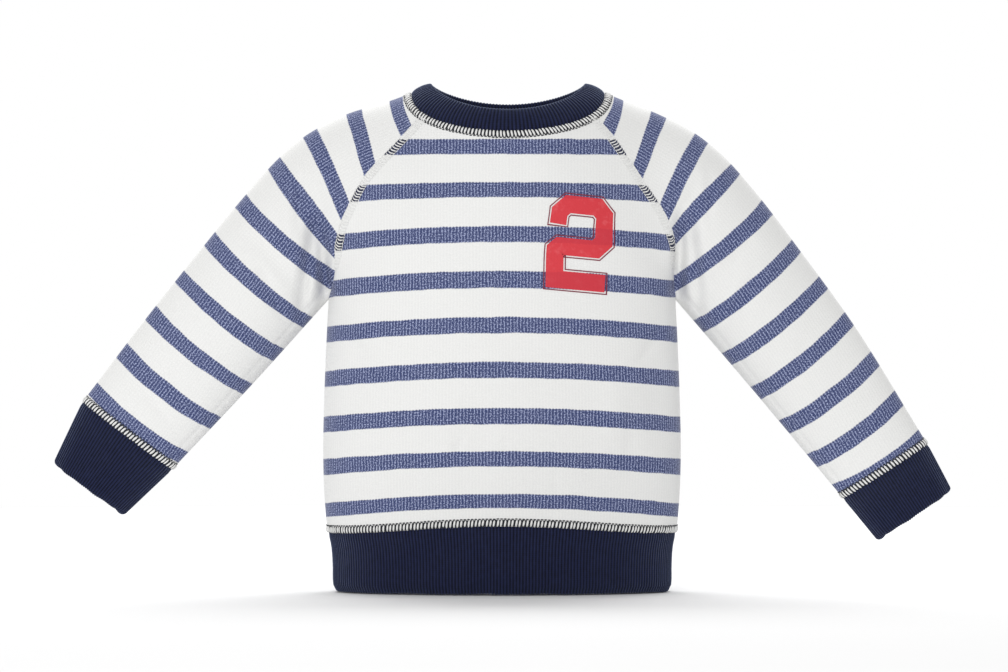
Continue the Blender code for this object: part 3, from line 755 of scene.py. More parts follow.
def jerseyMaterial(name, deep, light):
    # Blue is paler at each loop's crown, a painted highlight, and in an uneven scatter of paler yarn. White
    # hardly varies
    material, tree, shader = clothShader(name, 0.93, 0.2)
    wale, course = clothPlace(tree)
    place = objectPlace(tree)
    knit = knitUnder(tree, wale, course)
    # Painted highlight: the loop crowns lighten the colour, along with the real scatter of paler yarn
    heatherAndHighlight = calc(tree, "MULTIPLY_ADD", knit.outputs["loop"], jersey["loopHighlightShare"], knit.outputs["fleck"])
    blue = blendColour(tree, ease(tree, heatherAndHighlight, *jersey["blueSpan"]), deep, light)
    pale = ease(tree, heatherAndHighlight, *jersey["whiteSpan"])
    white = blendColour(tree, pale, jersey["whiteShade"], jersey["white"])
    colour = blendColour(tree, stripeMask(tree, wale, course), white, blue)
    away = addNode(tree, "VectorMath", {0: place, 1: jersey["stainPlace"]}, operation="DISTANCE")
    radius = jersey["stainRadius"]
    spot = ease(tree, away.outputs["Value"], radius * 0.4, radius * 1.6, 1.0, 0.0)
    colour = blendColour(tree, calc(tree, "MULTIPLY", spot, jersey["stainShare"]), colour, jersey["stain"])
    fluffed = useGroup(tree, fuzz, {"colour": colour, "amount": jersey["fuzz"], "place": place})
    tree.links.new(fluffed.outputs["colour"], shader.inputs["Base Color"])
    fluff = calc(tree, "MULTIPLY", fluffed.outputs["height"], jersey["fuzzHeight"])
    bumpInto(tree, shader, calc(tree, "ADD", fluff, knit.outputs["height"]), jersey["bump"])
    return material


rib = {
    # Painted shade and light: the groove colour is shade in each rib groove, the ridge colour the lit rib
    "groove": (0.0008, 0.0012, 0.0060, 1.0),
    "ridge": (0.0120, 0.0165, 0.0560, 1.0),
    "sheenTint": (0.62, 0.74, 1.0, 1.0),
    "stitchPitch": 1.5,
    "wornScale": 260.0,
    "stitchHighlight": 0.18,
    "wornTone": 0.5,
    "ridgeTone": 0.55,
    "toneSpan": (0.2, 1.1),
    "fuzz": 0.008,
    "stitchHeight": 0.5,
    "wornHeight": 0.8,
    "bump": 0.10,
}


def ribMaterial():
    # The map's x counts ribs, so a colour and a fine stitch follow each one: painted shade in the grooves,
    # painted highlight on ridges and stitch crests
    material, tree, shader = clothShader("navyRib", 0.92, 0.55, 0.42, 0.12)
    shader.inputs["Sheen Tint"].default_value = rib["sheenTint"]
    counts, along = clothPlace(tree)
    place = objectPlace(tree)
    stitches = calc(tree, "SINE", calc(tree, "MULTIPLY", along, math.pi / rib["stitchPitch"]))
    stitches = calc(tree, "ABSOLUTE", stitches)
    worn = noiseAt(tree, place, rib["wornScale"], 3.0, 0.6)
    # Painted shade and light: grooves take the dark colour, ridges the light one, stitch crests lighter
    # still; the worn noise is uneven tone
    tone = calc(tree, "MULTIPLY", waveOf(tree, counts), rib["ridgeTone"])
    tone = calc(tree, "MULTIPLY_ADD", worn, rib["wornTone"], tone)
    tone = calc(tree, "MULTIPLY_ADD", stitches, rib["stitchHighlight"], tone)
    colour = blendColour(tree, ease(tree, tone, *rib["toneSpan"]), rib["groove"], rib["ridge"])
    fluffed = useGroup(tree, fuzz, {"colour": colour, "amount": rib["fuzz"], "place": place})
    tree.links.new(fluffed.outputs["colour"], shader.inputs["Base Color"])
    height = calc(tree, "MULTIPLY", worn, rib["wornHeight"])
    bumpInto(tree, shader, calc(tree, "MULTIPLY_ADD", stitches, rib["stitchHeight"], height), rib["bump"])
    return material


thread = {
    "white": (0.86, 0.86, 0.85, 1.0),
    "whiteShade": (0.60, 0.60, 0.59, 1.0),
    "dark": (0.030, 0.033, 0.040, 1.0),
    "darkShade": (0.010, 0.011, 0.016, 1.0),
    "plyPitch": 0.9,
    "bump": 0.08,
}


def threadMaterial(name, colour, shade, roughness):
    # Twisted sewing thread: slanting ply lines over a plain colour, painted darker in the grooves between
    # plies as shade
    material, tree, shader = clothShader(name, roughness, 0.15)
    around, along = clothPlace(tree)
    turns = calc(tree, "MULTIPLY", calc(tree, "ADD", along, around), 2.0 * math.pi / thread["plyPitch"])
    ply = calc(tree, "MULTIPLY_ADD", calc(tree, "SINE", turns), 0.5, 0.5)
    # Painted shade: the shade colour lies in the ply grooves, the plain colour on the ply crests
    tree.links.new(blendColour(tree, ply, shade, colour), shader.inputs["Base Color"])
    bumpInto(tree, shader, ply, thread["bump"])
    return material


ink = {
    "red": (0.610, 0.045, 0.058, 1.0),
    "redWorn": (0.660, 0.085, 0.100, 1.0),
    "redOnBlue": (0.525, 0.036, 0.054, 1.0),
    "outline": (0.190, 0.030, 0.050, 1.0),
    "wornScale": 130.0,
    "wornSpan": (0.50, 0.72),
    "blueShare": 0.75,
    "bump": 0.12,
}


def inkMaterial():
    # Plastic ink on knit: the knit shows through as bump, blue stripes darken it, worn patches pale it
    material, tree, shader = clothShader("printedInk", 0.55, 0.05, specular=0.15)
    wale, course = clothPlace(tree)
    worn = noiseAt(tree, objectPlace(tree), ink["wornScale"], 5.0, 0.65)
    colour = blendColour(tree, ease(tree, worn, *ink["wornSpan"]), ink["red"], ink["redWorn"])
    onBlue = calc(tree, "MULTIPLY", stripeMask(tree, wale, course), ink["blueShare"])
    colour = blendColour(tree, onBlue, colour, ink["redOnBlue"])
    edge = addNode(tree, "Attribute", attribute_name="outline", attribute_type="GEOMETRY").outputs["Fac"]
    tree.links.new(blendColour(tree, edge, colour, ink["outline"]), shader.inputs["Base Color"])
    bumpInto(tree, shader, knitUnder(tree, wale, course).outputs["height"], ink["bump"])
    return material


knits = knitGroup()
fuzz = fuzzGroup()
jerseyCloth = jerseyMaterial("stripedJersey", jersey["blueDeep"], jersey["blueLight"])
# Painted shade: the raglan stitch ribbon, the body's stripes with darker blue
seamShadeCloth = jerseyMaterial("seamJerseyShade", jersey["seamDeepShade"], jersey["seamPaleShade"])
ribCloth = ribMaterial()
whiteThread = threadMaterial("whiteThread", thread["white"], thread["whiteShade"], 0.7)
darkThread = threadMaterial("darkThread", thread["dark"], thread["darkShade"], 0.75)
printInk = inkMaterial()
print("materials made")

# Front and back
panels = {
    "columns": 170,
    "bodyRows": 112,
    "yokeRows": 84,
    "seamDip": 0.9,
    "seamDipWidth": 1.6,
    "endDipWidth": 2.2,
    "sideSeamShare": 0.35,
    "yokeBlend": 0.08,
    "yokeCrowding": 1.25,
    "pucker": 0.22,
    "puckerPitch": 6.2,
    "puckerReach": 6.0,
    "cut": {"front": (0.347, 0.372), "back": (0.347, 0.376)},
    "cutArea": {"front": 0.098, "back": 0.099},
}


def panelRows(lowerRows, yokeRows):
    # Even up to the armpit, then closer together just over it
    upper = np.linspace(0.0, 1.0, yokeRows + 1) ** panels["yokeCrowding"]
    return np.concatenate((np.linspace(0.0, 1.0, lowerRows + 1)[:-1], 1.0 + upper))


def seamRelief(toSide, onYoke, ends, gathers, belowYoke=0.0):
    # Valleys along the sides and both ends, and gathers along each seam by their share
    lift = seamValley(toSide, panels["seamDip"], panels["seamDipWidth"])
    lift = lift * (belowYoke + (1.0 - belowYoke) * onYoke)
    for distance in ends:
        lift = lift + seamValley(distance, panels["seamDip"], panels["endDipWidth"])
    for along, distance, share in gathers:
        lift = lift + share * pucker(along, distance)
    return lift


def clothPiece(name, points, normals, lift, uv, weld=None):
    # The outer side lies at the lift over the points, the inner side a wall's thickness below them
    outer = points + lift[..., None] * normals
    inner = points + (np.minimum(lift, 0.0) - garment["jerseyWall"])[..., None] * normals
    return measured(closedWall(name, outer, inner, uv, jerseyCloth, weld), points)


def makePanel(face):
    # The panel's surface, dipped at its seams and gathered a little along them
    us = np.linspace(-1.0, 1.0, panels["columns"] + 1)
    vs = panelRows(panels["bodyRows"], panels["yokeRows"])
    points, normals, _, v = evaluated(lambda a, b: bodyPanel(a, b, face), us, vs)
    normals = normals * (1.0 if face == "front" else -1.0)
    fromLeft, fromRight = alongRows(points)
    fromHem, fromNeck = alongColumns(points)
    toSide = np.minimum(fromLeft, fromRight)
    onYoke = smoothStep((v - 1.0) / panels["yokeBlend"])
    gathers = ((fromHem, toSide, onYoke), (fromLeft, fromNeck, 1.0), (fromLeft, fromHem, 1.0))
    lift = seamRelief(toSide, onYoke, (fromNeck, fromHem), gathers, panels["sideSeamShare"])
    return clothPiece(face + "Cloth", points, normals, lift, bodyUv(points))


front = makePanel("front")
back = makePanel("back")

# Sleeves
sleeves = {
    "columns": 128,
    "tubeRows": 96,
    "yokeRows": 76,
    "underarmSeamShare": 0.93,
    "underarmShift": 0.014,
    "underarmEdge": 0.004,
    "underarmDip": 0.7,
    "underarmDipWidth": 1.5,
    "cut": {"left": (0.264, 0.392), "right": (0.265, 0.374)},
    "cutArea": {"left": 0.074, "right": 0.071},
}


def makeSleeve(side):
    # The sleeve's surface, dipped at its seams, with the underarm seam a little up its front
    us = np.linspace(-1.0, 1.0, sleeves["columns"] + 1)
    vs = panelRows(sleeves["tubeRows"], sleeves["yokeRows"])
    points, normals, u, v = evaluated(lambda a, b: sleeveTube(a, b, side), us, vs)
    normals = normals * (-1.0 if side == "left" else 1.0)
    fromBack, fromFront = alongRows(points)
    fromCuff, fromNeck = alongColumns(points)
    middle = sleeves["columns"] // 2
    around = fromBack - fromBack[:, middle:middle + 1]
    toSeam = np.minimum(fromBack, fromFront)
    onYoke = smoothStep((v - 1.0) / panels["yokeBlend"])
    share = sleeveLines(u, v, side)[2]
    seamSide = np.where(u > 0, share - sleeves["underarmSeamShare"], -1.0)
    seamNear = np.abs(seamSide) * around[:, -1:]
    gathers = ((fromCuff, toSeam, onYoke), (around, fromNeck, 1.0), (around, fromCuff, 1.0),
               (fromCuff, seamNear, 1.0 - onYoke))
    lift = seamRelief(toSeam, onYoke, (fromNeck, fromCuff), gathers)
    lift = lift + seamValley(seamNear, sleeves["underarmDip"], sleeves["underarmDipWidth"]) * (1.0 - onYoke)
    edge = sleeves["underarmEdge"]
    step = sleeves["underarmShift"] * smoothStep((seamSide + edge) / (2.0 * edge)) * (1.0 - onYoke)
    uv = np.stack((around, (sleeveStripe(u, v, side) + step) * stripes["period"]), axis=-1)
    weld = gridIndex(points.shape)
    weld[:sleeves["tubeRows"] + 1, -1] = weld[:sleeves["tubeRows"] + 1, 0]
    return clothPiece("sleeve" + side.capitalize() + "Cloth", points, normals, lift, uv, weld)


sleeveCloth = {side: makeSleeve(side) for side in ("left", "right")}


# Strips that follow a seam: rows at set distances from it, columns along it
def offEdge(surface, us, vs, distance, directionU, directionV, step=2e-3):
    # Walks the distance from an edge point along the surface, in the parameters' direction
    ahead = surface(us + directionU * step, vs + directionV * step)
    length = np.linalg.norm(ahead - surface(us, vs), axis=-1) / step
    return surface(us + directionU * distance / length, vs + directionV * distance / length)


def edgeStrip(parts, edge, inward, distances):
    # Rows along the parts' edges one after the other, closed round to the first point
    rows = []
    for distance in distances:
        row = [offEdge(surface, us, np.full_like(us, edge), distance, 0.0, inward) for surface, us in parts]
        rows.append(np.concatenate(row + [row[0][:1]]))
    return np.stack(rows)


ringAcross = np.linspace(-1.0, 1.0, 241)[:-1]
bodyRing = (
    (lambda u, v: bodyPanel(u, v, "front"), ringAcross),
    (lambda u, v: bodyPanel(u, v, "back"), -ringAcross),
)
sleeveRing = {side: lambda u, v, side=side: sleeveTube(u, v, side) for side in ("left", "right")}


def neckStrip(distances):
    # Round the neck seam, below it: front from right to left, left sleeve, back, right sleeve
    parts = (
        bodyRing[0], (sleeveRing["left"], -ringAcross[::3]),
        bodyRing[1], (sleeveRing["right"], ringAcross[::3]),
    )
    return edgeStrip(parts, 2.0, -1.0, distances)


def hemStrip(distances):
    return edgeStrip(bodyRing, 0.0, 1.0, distances)


def cuffStrip(side, distances):
    return edgeStrip(((sleeveRing[side], np.linspace(-1.0, 1.0, 181)[:-1]),), 0.0, 1.0, distances)


def raglanStrip(face, side, distances):
    # Distances over 0 lie on the panel and those under 0 on the sleeve, which folds over the
    # seam towards the armpit
    first, last = raglanStitch["span"]
    vs = np.linspace(first, last, 160)
    shown = 0.1 + 0.9 * smoothStep((vs - first) / raglanStitch["fade"])
    panel = (lambda u, v: bodyPanel(u, v, face), 1.0 if side == "left" else -1.0)
    sleeve = (sleeveRing[side], 1.0 if face == "front" else -1.0)
    rows = []
    for distance in distances:
        (surface, edge), reach = (panel, distance) if distance >= 0 else (sleeve, -distance * shown)
        rows.append(offEdge(surface, np.full_like(vs, edge), vs, reach, -edge, 0.0))
    return np.stack(rows)


def resampled(rows, length, places):
    # Each row's points at new places along the given length
    def moved(row):
        return np.stack([np.interp(places, length, row[:, k]) for k in range(3)], axis=-1)

    return np.stack([moved(row) for row in rows])


def outwardNormals(points, outside, ring=True, pad=2, smooth=0):
    # Normals of a grid, smoothed along its rows, on the side that the given vectors point to
    before = points[:, -1 - pad:-1] if ring else points[:, :1].repeat(pad, axis=1)
    after = points[:, 1:1 + pad] if ring else points[:, -1:].repeat(pad, axis=1)
    wide = np.concatenate((before, points, after), axis=1)
    normals = unitVectors(np.cross(np.gradient(wide, axis=1), np.gradient(wide, axis=0)))
    for _ in range(smooth):
        inside = (normals[:, :-2] + normals[:, 1:-1] + normals[:, 2:]) / 3.0
        normals = unitVectors(np.concatenate((normals[:, :1], inside, normals[:, -1:]), axis=1))
    normals = normals[:, pad:-pad]
    return normals * (1.0 if (normals * outside).sum() > 0 else -1.0)


def evenStrip(strip, ring, columns):
    # Spaces the columns evenly along the middle row
    length = alongRows(strip)[0][len(strip) // 2]
    even = resampled(strip, length, np.linspace(0.0, length[-1], columns + 1))
    outside = (even - np.array((0.0, 0.0, -150.0))) * np.array((0.3, 1.0, 0.3))
    return even, outwardNormals(even, outside, ring, 4, 3), length[-1]


def onStrip(grid, distances, total, along, distance):
    # Reads a strip's grid between its points, at any length along it and distance from the seam
    columns = grid.shape[1] - 1
    column = np.clip(along / total * columns, 0.0, columns - 1e-6)
    row = np.interp(distance, distances, np.arange(len(distances)))
    row = np.clip(row, 0.0, len(distances) - 1 - 1e-6)
    c, r = column.astype(int), row.astype(int)
    fc, fr = (column - c)[..., None], (row - r)[..., None]
    low = grid[r, c] * (1 - fc) + grid[r, c + 1] * fc
    high = grid[r + 1, c] * (1 - fc) + grid[r + 1, c + 1] * fc
    return low * (1 - fr) + high * fr


def threadPiece(name, paths, normals, radius, material):
    # Many short threads as one mesh: a six-sided oval carried along each path, thinner at both ends
    sides = 6
    count, rings = paths.shape[:2]
    tangent = unitVectors(np.gradient(paths, axis=1))
    side = unitVectors(np.cross(tangent, normals))
    rise = unitVectors(np.cross(side, tangent))
    t = np.linspace(-1.0, 1.0, rings)
    scale = (radius * np.sqrt(1.0 - 0.86 * np.abs(t) ** 3.0))[None, :, None, None]
    angle = np.linspace(0.0, 2.0 * math.pi, sides, endpoint=False)
    ring = (np.cos(angle)[None, None, :, None] * side[:, :, None] * scale
            + coverStitch["threadFlat"] * np.sin(angle)[None, None, :, None] * rise[:, :, None] * scale)
    vertices = (paths[:, :, None] + ring).reshape(-1, 3)
    index = np.arange(count * rings * sides).reshape(count, rings, sides)
    turned = np.roll(index, -1, axis=2)
    walls = np.stack((index[:, :-1], turned[:, :-1], turned[:, 1:], index[:, 1:]), axis=-1).reshape(-1, 4)
    first, last = index[:, 0], index[:, -1]
    caps = [first[:, [3, 2, 1, 0]], first[:, [5, 4, 3, 0]], last[:, [0, 1, 2, 3]], last[:, [0, 3, 4, 5]]]
    faces = np.concatenate([walls] + caps)
    step = np.linalg.norm(np.diff(paths, axis=1), axis=-1).cumsum(axis=1)
    length = np.concatenate((np.zeros((count, 1)), step), axis=1)
    uv = np.stack((np.broadcast_to(angle * 0.3, (count, rings, sides)),
                   np.broadcast_to(length[:, :, None], (count, rings, sides))), axis=-1).reshape(-1, 2)
    return bodyObject(name, vertices, faces, faces, uv, material)


coverStitch = {
    "columns": 480,
    "lean": 0.9,
    "sway": 0.08,
    "placeSpread": 0.16,
    "lowSpread": 0.25,
    "highSpread": 0.2,
    "needleSpread": 0.08,
    "threadFlat": 0.7,
}

# Rows and bed rows are distances from the seam, and each needle line has one too
bandStitch = {
    "ring": True,
    "rows": (0.0, 0.8, 1.8, 2.8, 3.8, 4.8, 5.8, 6.8),
    "bedRows": (0.2, 1.2, 2.6, 4.0, 5.5),
    "bedColumns": 420,
    "bedLift": 0.30,
    "bedDepth": 0.5,
    "pitch": 2.9,
    "barSpan": (0.1, 5.4),
    "barRadius": 0.78,
    "barRise": 0.75,
    "needles": (("Needle", 6.1),),
    "needleRadius": 0.47,
    "needleLength": 2.3,
    "needleRise": 0.3,
}
raglanStitch = {
    "ring": False,
    "span": (1.17, 1.985),
    "fade": 0.12,
    "rows": (-4.4, -3.4, -2.0, -0.7, 0.7, 2.0, 3.4, 4.4),
    "bedRows": (-3.6, -1.8, 0.0, 1.8, 3.6),
    "bedColumns": 300,
    "bedLift": 0.16,
    "bedDepth": 0.9,
    "pitch": 2.5,
    "barSpan": (-2.9, 2.9),
    "barRadius": 0.50,
    "barRise": 0.32,
    "needles": (("NeedleBody", 3.2), ("NeedleSleeve", -3.2)),
    "needleRadius": 0.34,
    "needleLength": 2.2,
    "needleRise": 0.35,
}
wander = np.random.default_rng(11)


def layThreads(name, laid, look, along, distance, rise, radius, material):
    # Threads on a strip, given by their places along and across it and their rise over it
    grid, normals, total = laid
    along = np.mod(along, total) if look["ring"] else np.clip(along, 0.0, total)
    place = onStrip(grid, look["rows"], total, along, distance)
    normal = unitVectors(onStrip(normals, look["rows"], total, along, distance))
    return threadPiece(name, place + rise[None, :, None] * normal, normal, radius, material)


def stitchStarts(total, look):
    count = int(round(total / look["pitch"]))
    return count, (np.arange(count) + 0.5) / count * total


def stitchBars(name, laid, look):
    # White bars across the seam row, arched over it, each a little off its place
    count, starts = stitchStarts(laid[2], look)
    starts = starts + wander.normal(0.0, coverStitch["placeSpread"], count)
    low, high = look["barSpan"]
    lows = low + wander.normal(0.0, coverStitch["lowSpread"], count)[:, None]
    highs = high + wander.normal(0.0, coverStitch["highSpread"], count)[:, None]
    t = np.linspace(0.0, 1.0, 7)
    sway = coverStitch["sway"] * np.sin(math.pi * t) * wander.normal(0.0, 1.0, count)[:, None]
    along = starts[:, None] + coverStitch["lean"] * (t - 0.5) + sway
    rise = 0.1 + look["barRise"] * np.sin(math.pi * t) ** 0.6
    distance = lows + t * (highs - lows)
    return layThreads(name, laid, look, along, distance, rise, look["barRadius"], whiteThread)


def stitchDashes(name, laid, look, at, material):
    # A needle line: short stitches end to end along the seam
    count, starts = stitchStarts(laid[2], look)
    t = np.linspace(0.0, 1.0, 5)
    along = starts[:, None] + (t - 0.5) * look["needleLength"]
    distance = np.full_like(along, at) + wander.normal(0.0, coverStitch["needleSpread"], count)[:, None]
    rise = look["needleRise"] * np.sin(math.pi * t) ** 0.5
    return layThreads(name, laid, look, along, distance, rise, look["needleRadius"], material)


def stitchBed(name, strip, look, uvOf, material):
    # A thin ribbon under the bars, sunk into the cloth
    grid, normals = evenStrip(strip, look["ring"], look["bedColumns"])[:2]
    crown = np.sin(np.linspace(0.0, math.pi, len(grid)))[:, None, None]
    outer = grid + (look["bedLift"] * (0.35 + 0.65 * crown)) * normals
    inner = grid - look["bedDepth"] * normals
    return closedWall(name, outer, inner, uvOf(grid), material, gridIndex(grid.shape, look["ring"]))


def threadUv(grid):
    return np.stack((alongColumns(grid)[0], alongRows(grid)[0]), axis=-1)


def sewRow(name, makeStrip, look, bedUv, bedMaterial, needleMaterial):
    # A bed, the bars over it and its needle lines
    bed = stitchBed(name + "Bed", makeStrip(look["bedRows"]), look, bedUv, bedMaterial)
    laid = evenStrip(makeStrip(look["rows"]), look["ring"], coverStitch["columns"])
    bars = stitchBars(name + "Bars", laid, look)
    return [bed, bars] + [stitchDashes(name + part, laid, look, at, needleMaterial)
                          for part, at in look["needles"]]


def bandSewing(name, makeStrip):
    # White bars over dark looper thread, and a dark needle line at the row's outer side
    return sewRow(name, makeStrip, bandStitch, threadUv, darkThread, darkThread)


sewing = {
    "neck": bandSewing("neckStitch", neckStrip),
    "hem": bandSewing("hemStitch", hemStrip),
    "cuffLeft": bandSewing("cuffLeftStitch", lambda d: cuffStrip("left", d)),
    "cuffRight": bandSewing("cuffRightStitch", lambda d: cuffStrip("right", d)),
}


def raglanSewing(face, side):
    # White bars over a ribbon of the body's own stripes, its blue darkened as painted shade between the
    # threads, with a white needle line at each side
    name = "raglan" + face.capitalize() + side.capitalize()
    return sewRow(name, lambda d: raglanStrip(face, side, d), raglanStitch, bodyUv, seamShadeCloth, whiteThread)


raglanSews = {}
for face in ("front", "back"):
    for side in ("left", "right"):
        raglanSews[face, side] = raglanSewing(face, side)
sewn = list(sewing.values()) + list(raglanSews.values())
print("sewing made,", sum(len(pieces) for pieces in sewn), "pieces")

# Ribbed bands
# Waves are rows of height, count round the band and turn. Dips are depth and width
ribs = {
    "hem": 256,
    "cuff": 76,
    "neck": 140,
    "perRib": 6,
    "height": 0.55,
    "level": 0.6,
    "insideShare": 0.45,
    "endRound": 1.2,
    "cornerRound": 2.6,
    "cuffHalfWidth": 32.0,
    "cuffLength": 50.0,
    "hemHeight": 54.0,
    "arcRows": 5,
    "hemRows": 12,
    "cuffRows": 20,
    "neckRows": 12,
    "hemWaves": ((0.45, 9.0, 0.7), (0.3, 17.0, 2.1)),
    "cuffEdgeWaves": ((0.35, 3.0, 0.5), (0.25, 7.0, 0.0)),
    "cuffSlackWaves": ((0.35, 5.0, 1.0), (0.25, 9.0, 0.0)),
    "hemDip": (0.7, 2.0),
    "cuffDip": (0.6, 2.0),
    "neckDip": (0.6, 1.8),
    "hemCut": (0.674, 0.055),
    "cuffCut": {"left": (0.186, 0.050), "right": (0.204, 0.057)},
    "neckCut": (0.440, 0.022),
}


def wavesAt(angle, table):
    return sum(height * np.sin(count * angle + turn) for height, count, turn in table)


def ribbedBand(name, outside, outward, arcRows, wall):
    # Profile of each column: up the outside, half a circle over the free edge and back down the
    # inside. Ribs are a cosine round the band, full outside and lower inside
    rows, columns = outside.shape[:2]
    half = np.broadcast_to(wall, (rows,))[:, None, None] / 2.0
    tip = unitVectors(outside[-1] - outside[-2])
    middle = outside - outward * half
    arc = np.linspace(0.0, math.pi, arcRows + 2)[1:-1, None, None]
    turn = middle[-1] + (np.cos(arc) * outward[-1] + np.sin(arc) * tip) * half[-1]
    profile = np.concatenate((outside, turn, (middle - outward * half)[::-1]))
    facing = np.concatenate((outward, unitVectors(turn - middle[-1]), -outward[::-1]))
    inner = ribs["insideShare"]
    strength = np.concatenate((np.ones(rows), np.linspace(1.0, inner, arcRows), np.full(rows, inner)))
    counts = np.arange(columns) / ribs["perRib"]
    wave = 0.5 + 0.5 * np.cos(counts * 2.0 * math.pi)
    points = profile + (ribs["height"] * (wave - ribs["level"]) * strength[:, None])[..., None] * facing
    points = np.concatenate((points, points[:1]))
    uv = np.stack((np.broadcast_to(counts, points.shape[:2]), alongColumns(points)[0]), axis=-1)
    return measured(closedRing(name, points, uv, ribCloth), outside)


def evenRing(points, columns):
    # Spaces the columns of a ring evenly along its first row
    length = alongRows(points)[0][0]
    return resampled(points, length, np.linspace(0.0, length[-1], columns + 1))


def makeHemBand():
    us = np.linspace(-1.0, 1.0, 721)
    vs = np.linspace(0.0, 1.0 - ribs["endRound"] / ribs["hemHeight"], ribs["hemRows"])
    points = evenRing(hemTube(*np.meshgrid(us, vs)), ribs["hem"] * ribs["perRib"])
    normals = outwardNormals(points, points - np.array((0.0, 0.0, points[..., 2].mean())))
    fall = (points[..., 2] - points[..., 2].min()) / ribs["hemHeight"]
    wave = wavesAt(np.arctan2(points[..., 0], -points[..., 1]), ribs["hemWaves"])
    dip = seamValley(alongColumns(points)[0], *ribs["hemDip"])
    points = points + (wave * (1.0 - fall) + dip)[..., None] * normals
    return ribbedBand("hemBandRib", points, normals, ribs["arcRows"], garment["ribWall"])


def makeCuff(side):
    # Rows crowd towards the free end, where the tube draws in round a quarter circle
    columns = ribs["cuff"] * ribs["perRib"]
    down = np.sin(np.linspace(0.0, math.pi / 2.0, ribs["cuffRows"]))[:, None]
    length = ribs["cuffLength"]
    u, v = np.meshgrid(np.linspace(-1.0, 1.0, 481), down[:, 0] * (1.0 - ribs["endRound"] / length))
    points = evenRing(cuffTube(u, v, side), columns)
    centre = points.mean(axis=1, keepdims=True)
    corner = np.clip((down - 1.0) * length / ribs["cornerRound"] + 1.0, 0.0, 1.0)
    drawn = ribs["cornerRound"] * (1.0 - np.sqrt(1.0 - corner ** 2)) / ribs["cuffHalfWidth"]
    around = np.linspace(0.0, 2.0 * math.pi, columns + 1)
    uneven = wavesAt(around, ribs["cuffEdgeWaves"]) * down ** 2
    points = centre + (points - centre) * (1.0 - drawn[..., None])
    points = points + uneven[..., None] * unitVectors(centre[-1] - centre[0])
    normals = outwardNormals(points, points - points.mean(axis=1, keepdims=True))
    dip = seamValley(alongColumns(points)[0], *ribs["cuffDip"])
    slack = wavesAt(around, ribs["cuffSlackWaves"]) * down ** 2
    points = points + (dip + slack)[..., None] * normals
    name = "cuff" + side.capitalize() + "Rib"
    return ribbedBand(name, points, normals, ribs["arcRows"], garment["ribWall"])


neckband = {
    "halfWidth": 61.0,
    "pointHeight": 10.7,
    "drop": {"front": 21.7, "back": 14.0},
    "halfDepth": {"front": 47.0, "back": 44.0},
    "curve": {"front": 1.22, "back": 1.6},
    "bulge": 1.6,
    "peakRound": 0.2,
    "edgeWall": 3.6,
    "height": 20.0,
    "axisRise": 12.0,
}


def collarEdge(seam):
    # Free edge of the neckband at the same angle round the neck as each seam point
    sideways = (seam[..., 0] - garment["neckShift"]) / garment["neckHalfWidth"]
    angle = np.arctan2(sideways, -seam[..., 1] / garment["neckHalfDepth"])
    ahead = np.cos(angle)
    pick = {key: np.where(ahead > 0.0, neckband[key]["front"], neckband[key]["back"])
            for key in ("drop", "halfDepth", "curve")}
    soft = neckband["peakRound"]
    low = soft ** pick["curve"]
    rounded = np.hypot(ahead, soft) ** pick["curve"] - low
    whole = math.hypot(1.0, soft) ** pick["curve"] - low
    height = neckband["pointHeight"] - pick["drop"] * rounded / whole
    x = garment["neckShift"] + neckband["halfWidth"] * np.sin(angle)
    return np.stack((x, -pick["halfDepth"] * ahead, height), axis=-1)


def makeNeckband():
    # Each column is a quadratic curve from the seam to the free edge that bulges outwards, and the
    # doubled rib grows thicker towards its fold
    columns = ribs["neck"] * ribs["perRib"]
    seam = evenRing(neckStrip((0.0,)), columns)[0]
    top = collarEdge(seam)
    rise = unitVectors(top - seam)
    outwards = seam - np.array((garment["neckShift"], 0.0, 0.0))
    outwards[..., 2] = 0.6 * np.linalg.norm(outwards[..., :2], axis=-1)
    outwards = unitVectors(outwards - (outwards * rise).sum(axis=-1, keepdims=True) * rise)
    control = (seam + top) / 2.0 + 2.0 * neckband["bulge"] * outwards
    last = 1.0 - neckband["edgeWall"] / 2.0 / neckband["height"]
    t = np.linspace(0.0, last, ribs["neckRows"])[:, None, None]
    points = (1 - t) ** 2 * seam + 2 * t * (1 - t) * control + t ** 2 * top
    axisHeight = points[..., 2].mean() + neckband["axisRise"]
    normals = outwardNormals(points, points - np.array((garment["neckShift"], 0.0, axisHeight)))
    points = points + seamValley(alongColumns(points)[0], *ribs["neckDip"])[..., None] * normals
    wall = np.linspace(garment["ribWall"], neckband["edgeWall"], ribs["neckRows"])
    return ribbedBand("neckbandRib", points, normals, ribs["arcRows"] + 2, wall)


hemBand = makeHemBand()
cuffs = {side: makeCuff(side) for side in ("left", "right")}
neck = makeNeckband()
print("ribbed bands made")

# Number on the wearer's left chest, a plain block 2 built from its own sizes
number = {
    "centre": (61.0, -118.3),
    "slope": 0.09,
    "slant": 0.02,
    "width": 56.0,
    "height": 77.3,
    "stroke": 17.6,
    "cornerCut": 6.4,
    "footCut": 3.0,
    "midHeight": -3.5,
    "hookLength": 17.2,
    "footShort": 5.4,
    "outline": 0.85,
    "gap": 1.05,
    "lift": 0.12,
    "thickness": 0.16,
    "sunk": 0.3,
    "step": 1.1,
    "leastStep": 0.12,
    "coreColumns": 13,
}


def numberPath():
    # Middle line of the stroke, from the hook's end over the top, back along the middle to the foot
    half = number["stroke"] / 2.0
    left, right = -number["width"] / 2.0 + half, number["width"] / 2.0 - half
    top, foot = number["height"] / 2.0 - half, -number["height"] / 2.0 + half
    cut, small, middle = number["cornerCut"], number["footCut"], number["midHeight"]
    return np.array((
        (left, top + half - number["hookLength"] - half * 1.1), (left, top - cut), (left + cut, top),
        (right - cut, top), (right, top - cut), (right, middle + cut), (right - cut, middle),
        (left + small, middle), (left, middle - small), (left, foot),
        (right + half - number["footShort"], foot),
    ))


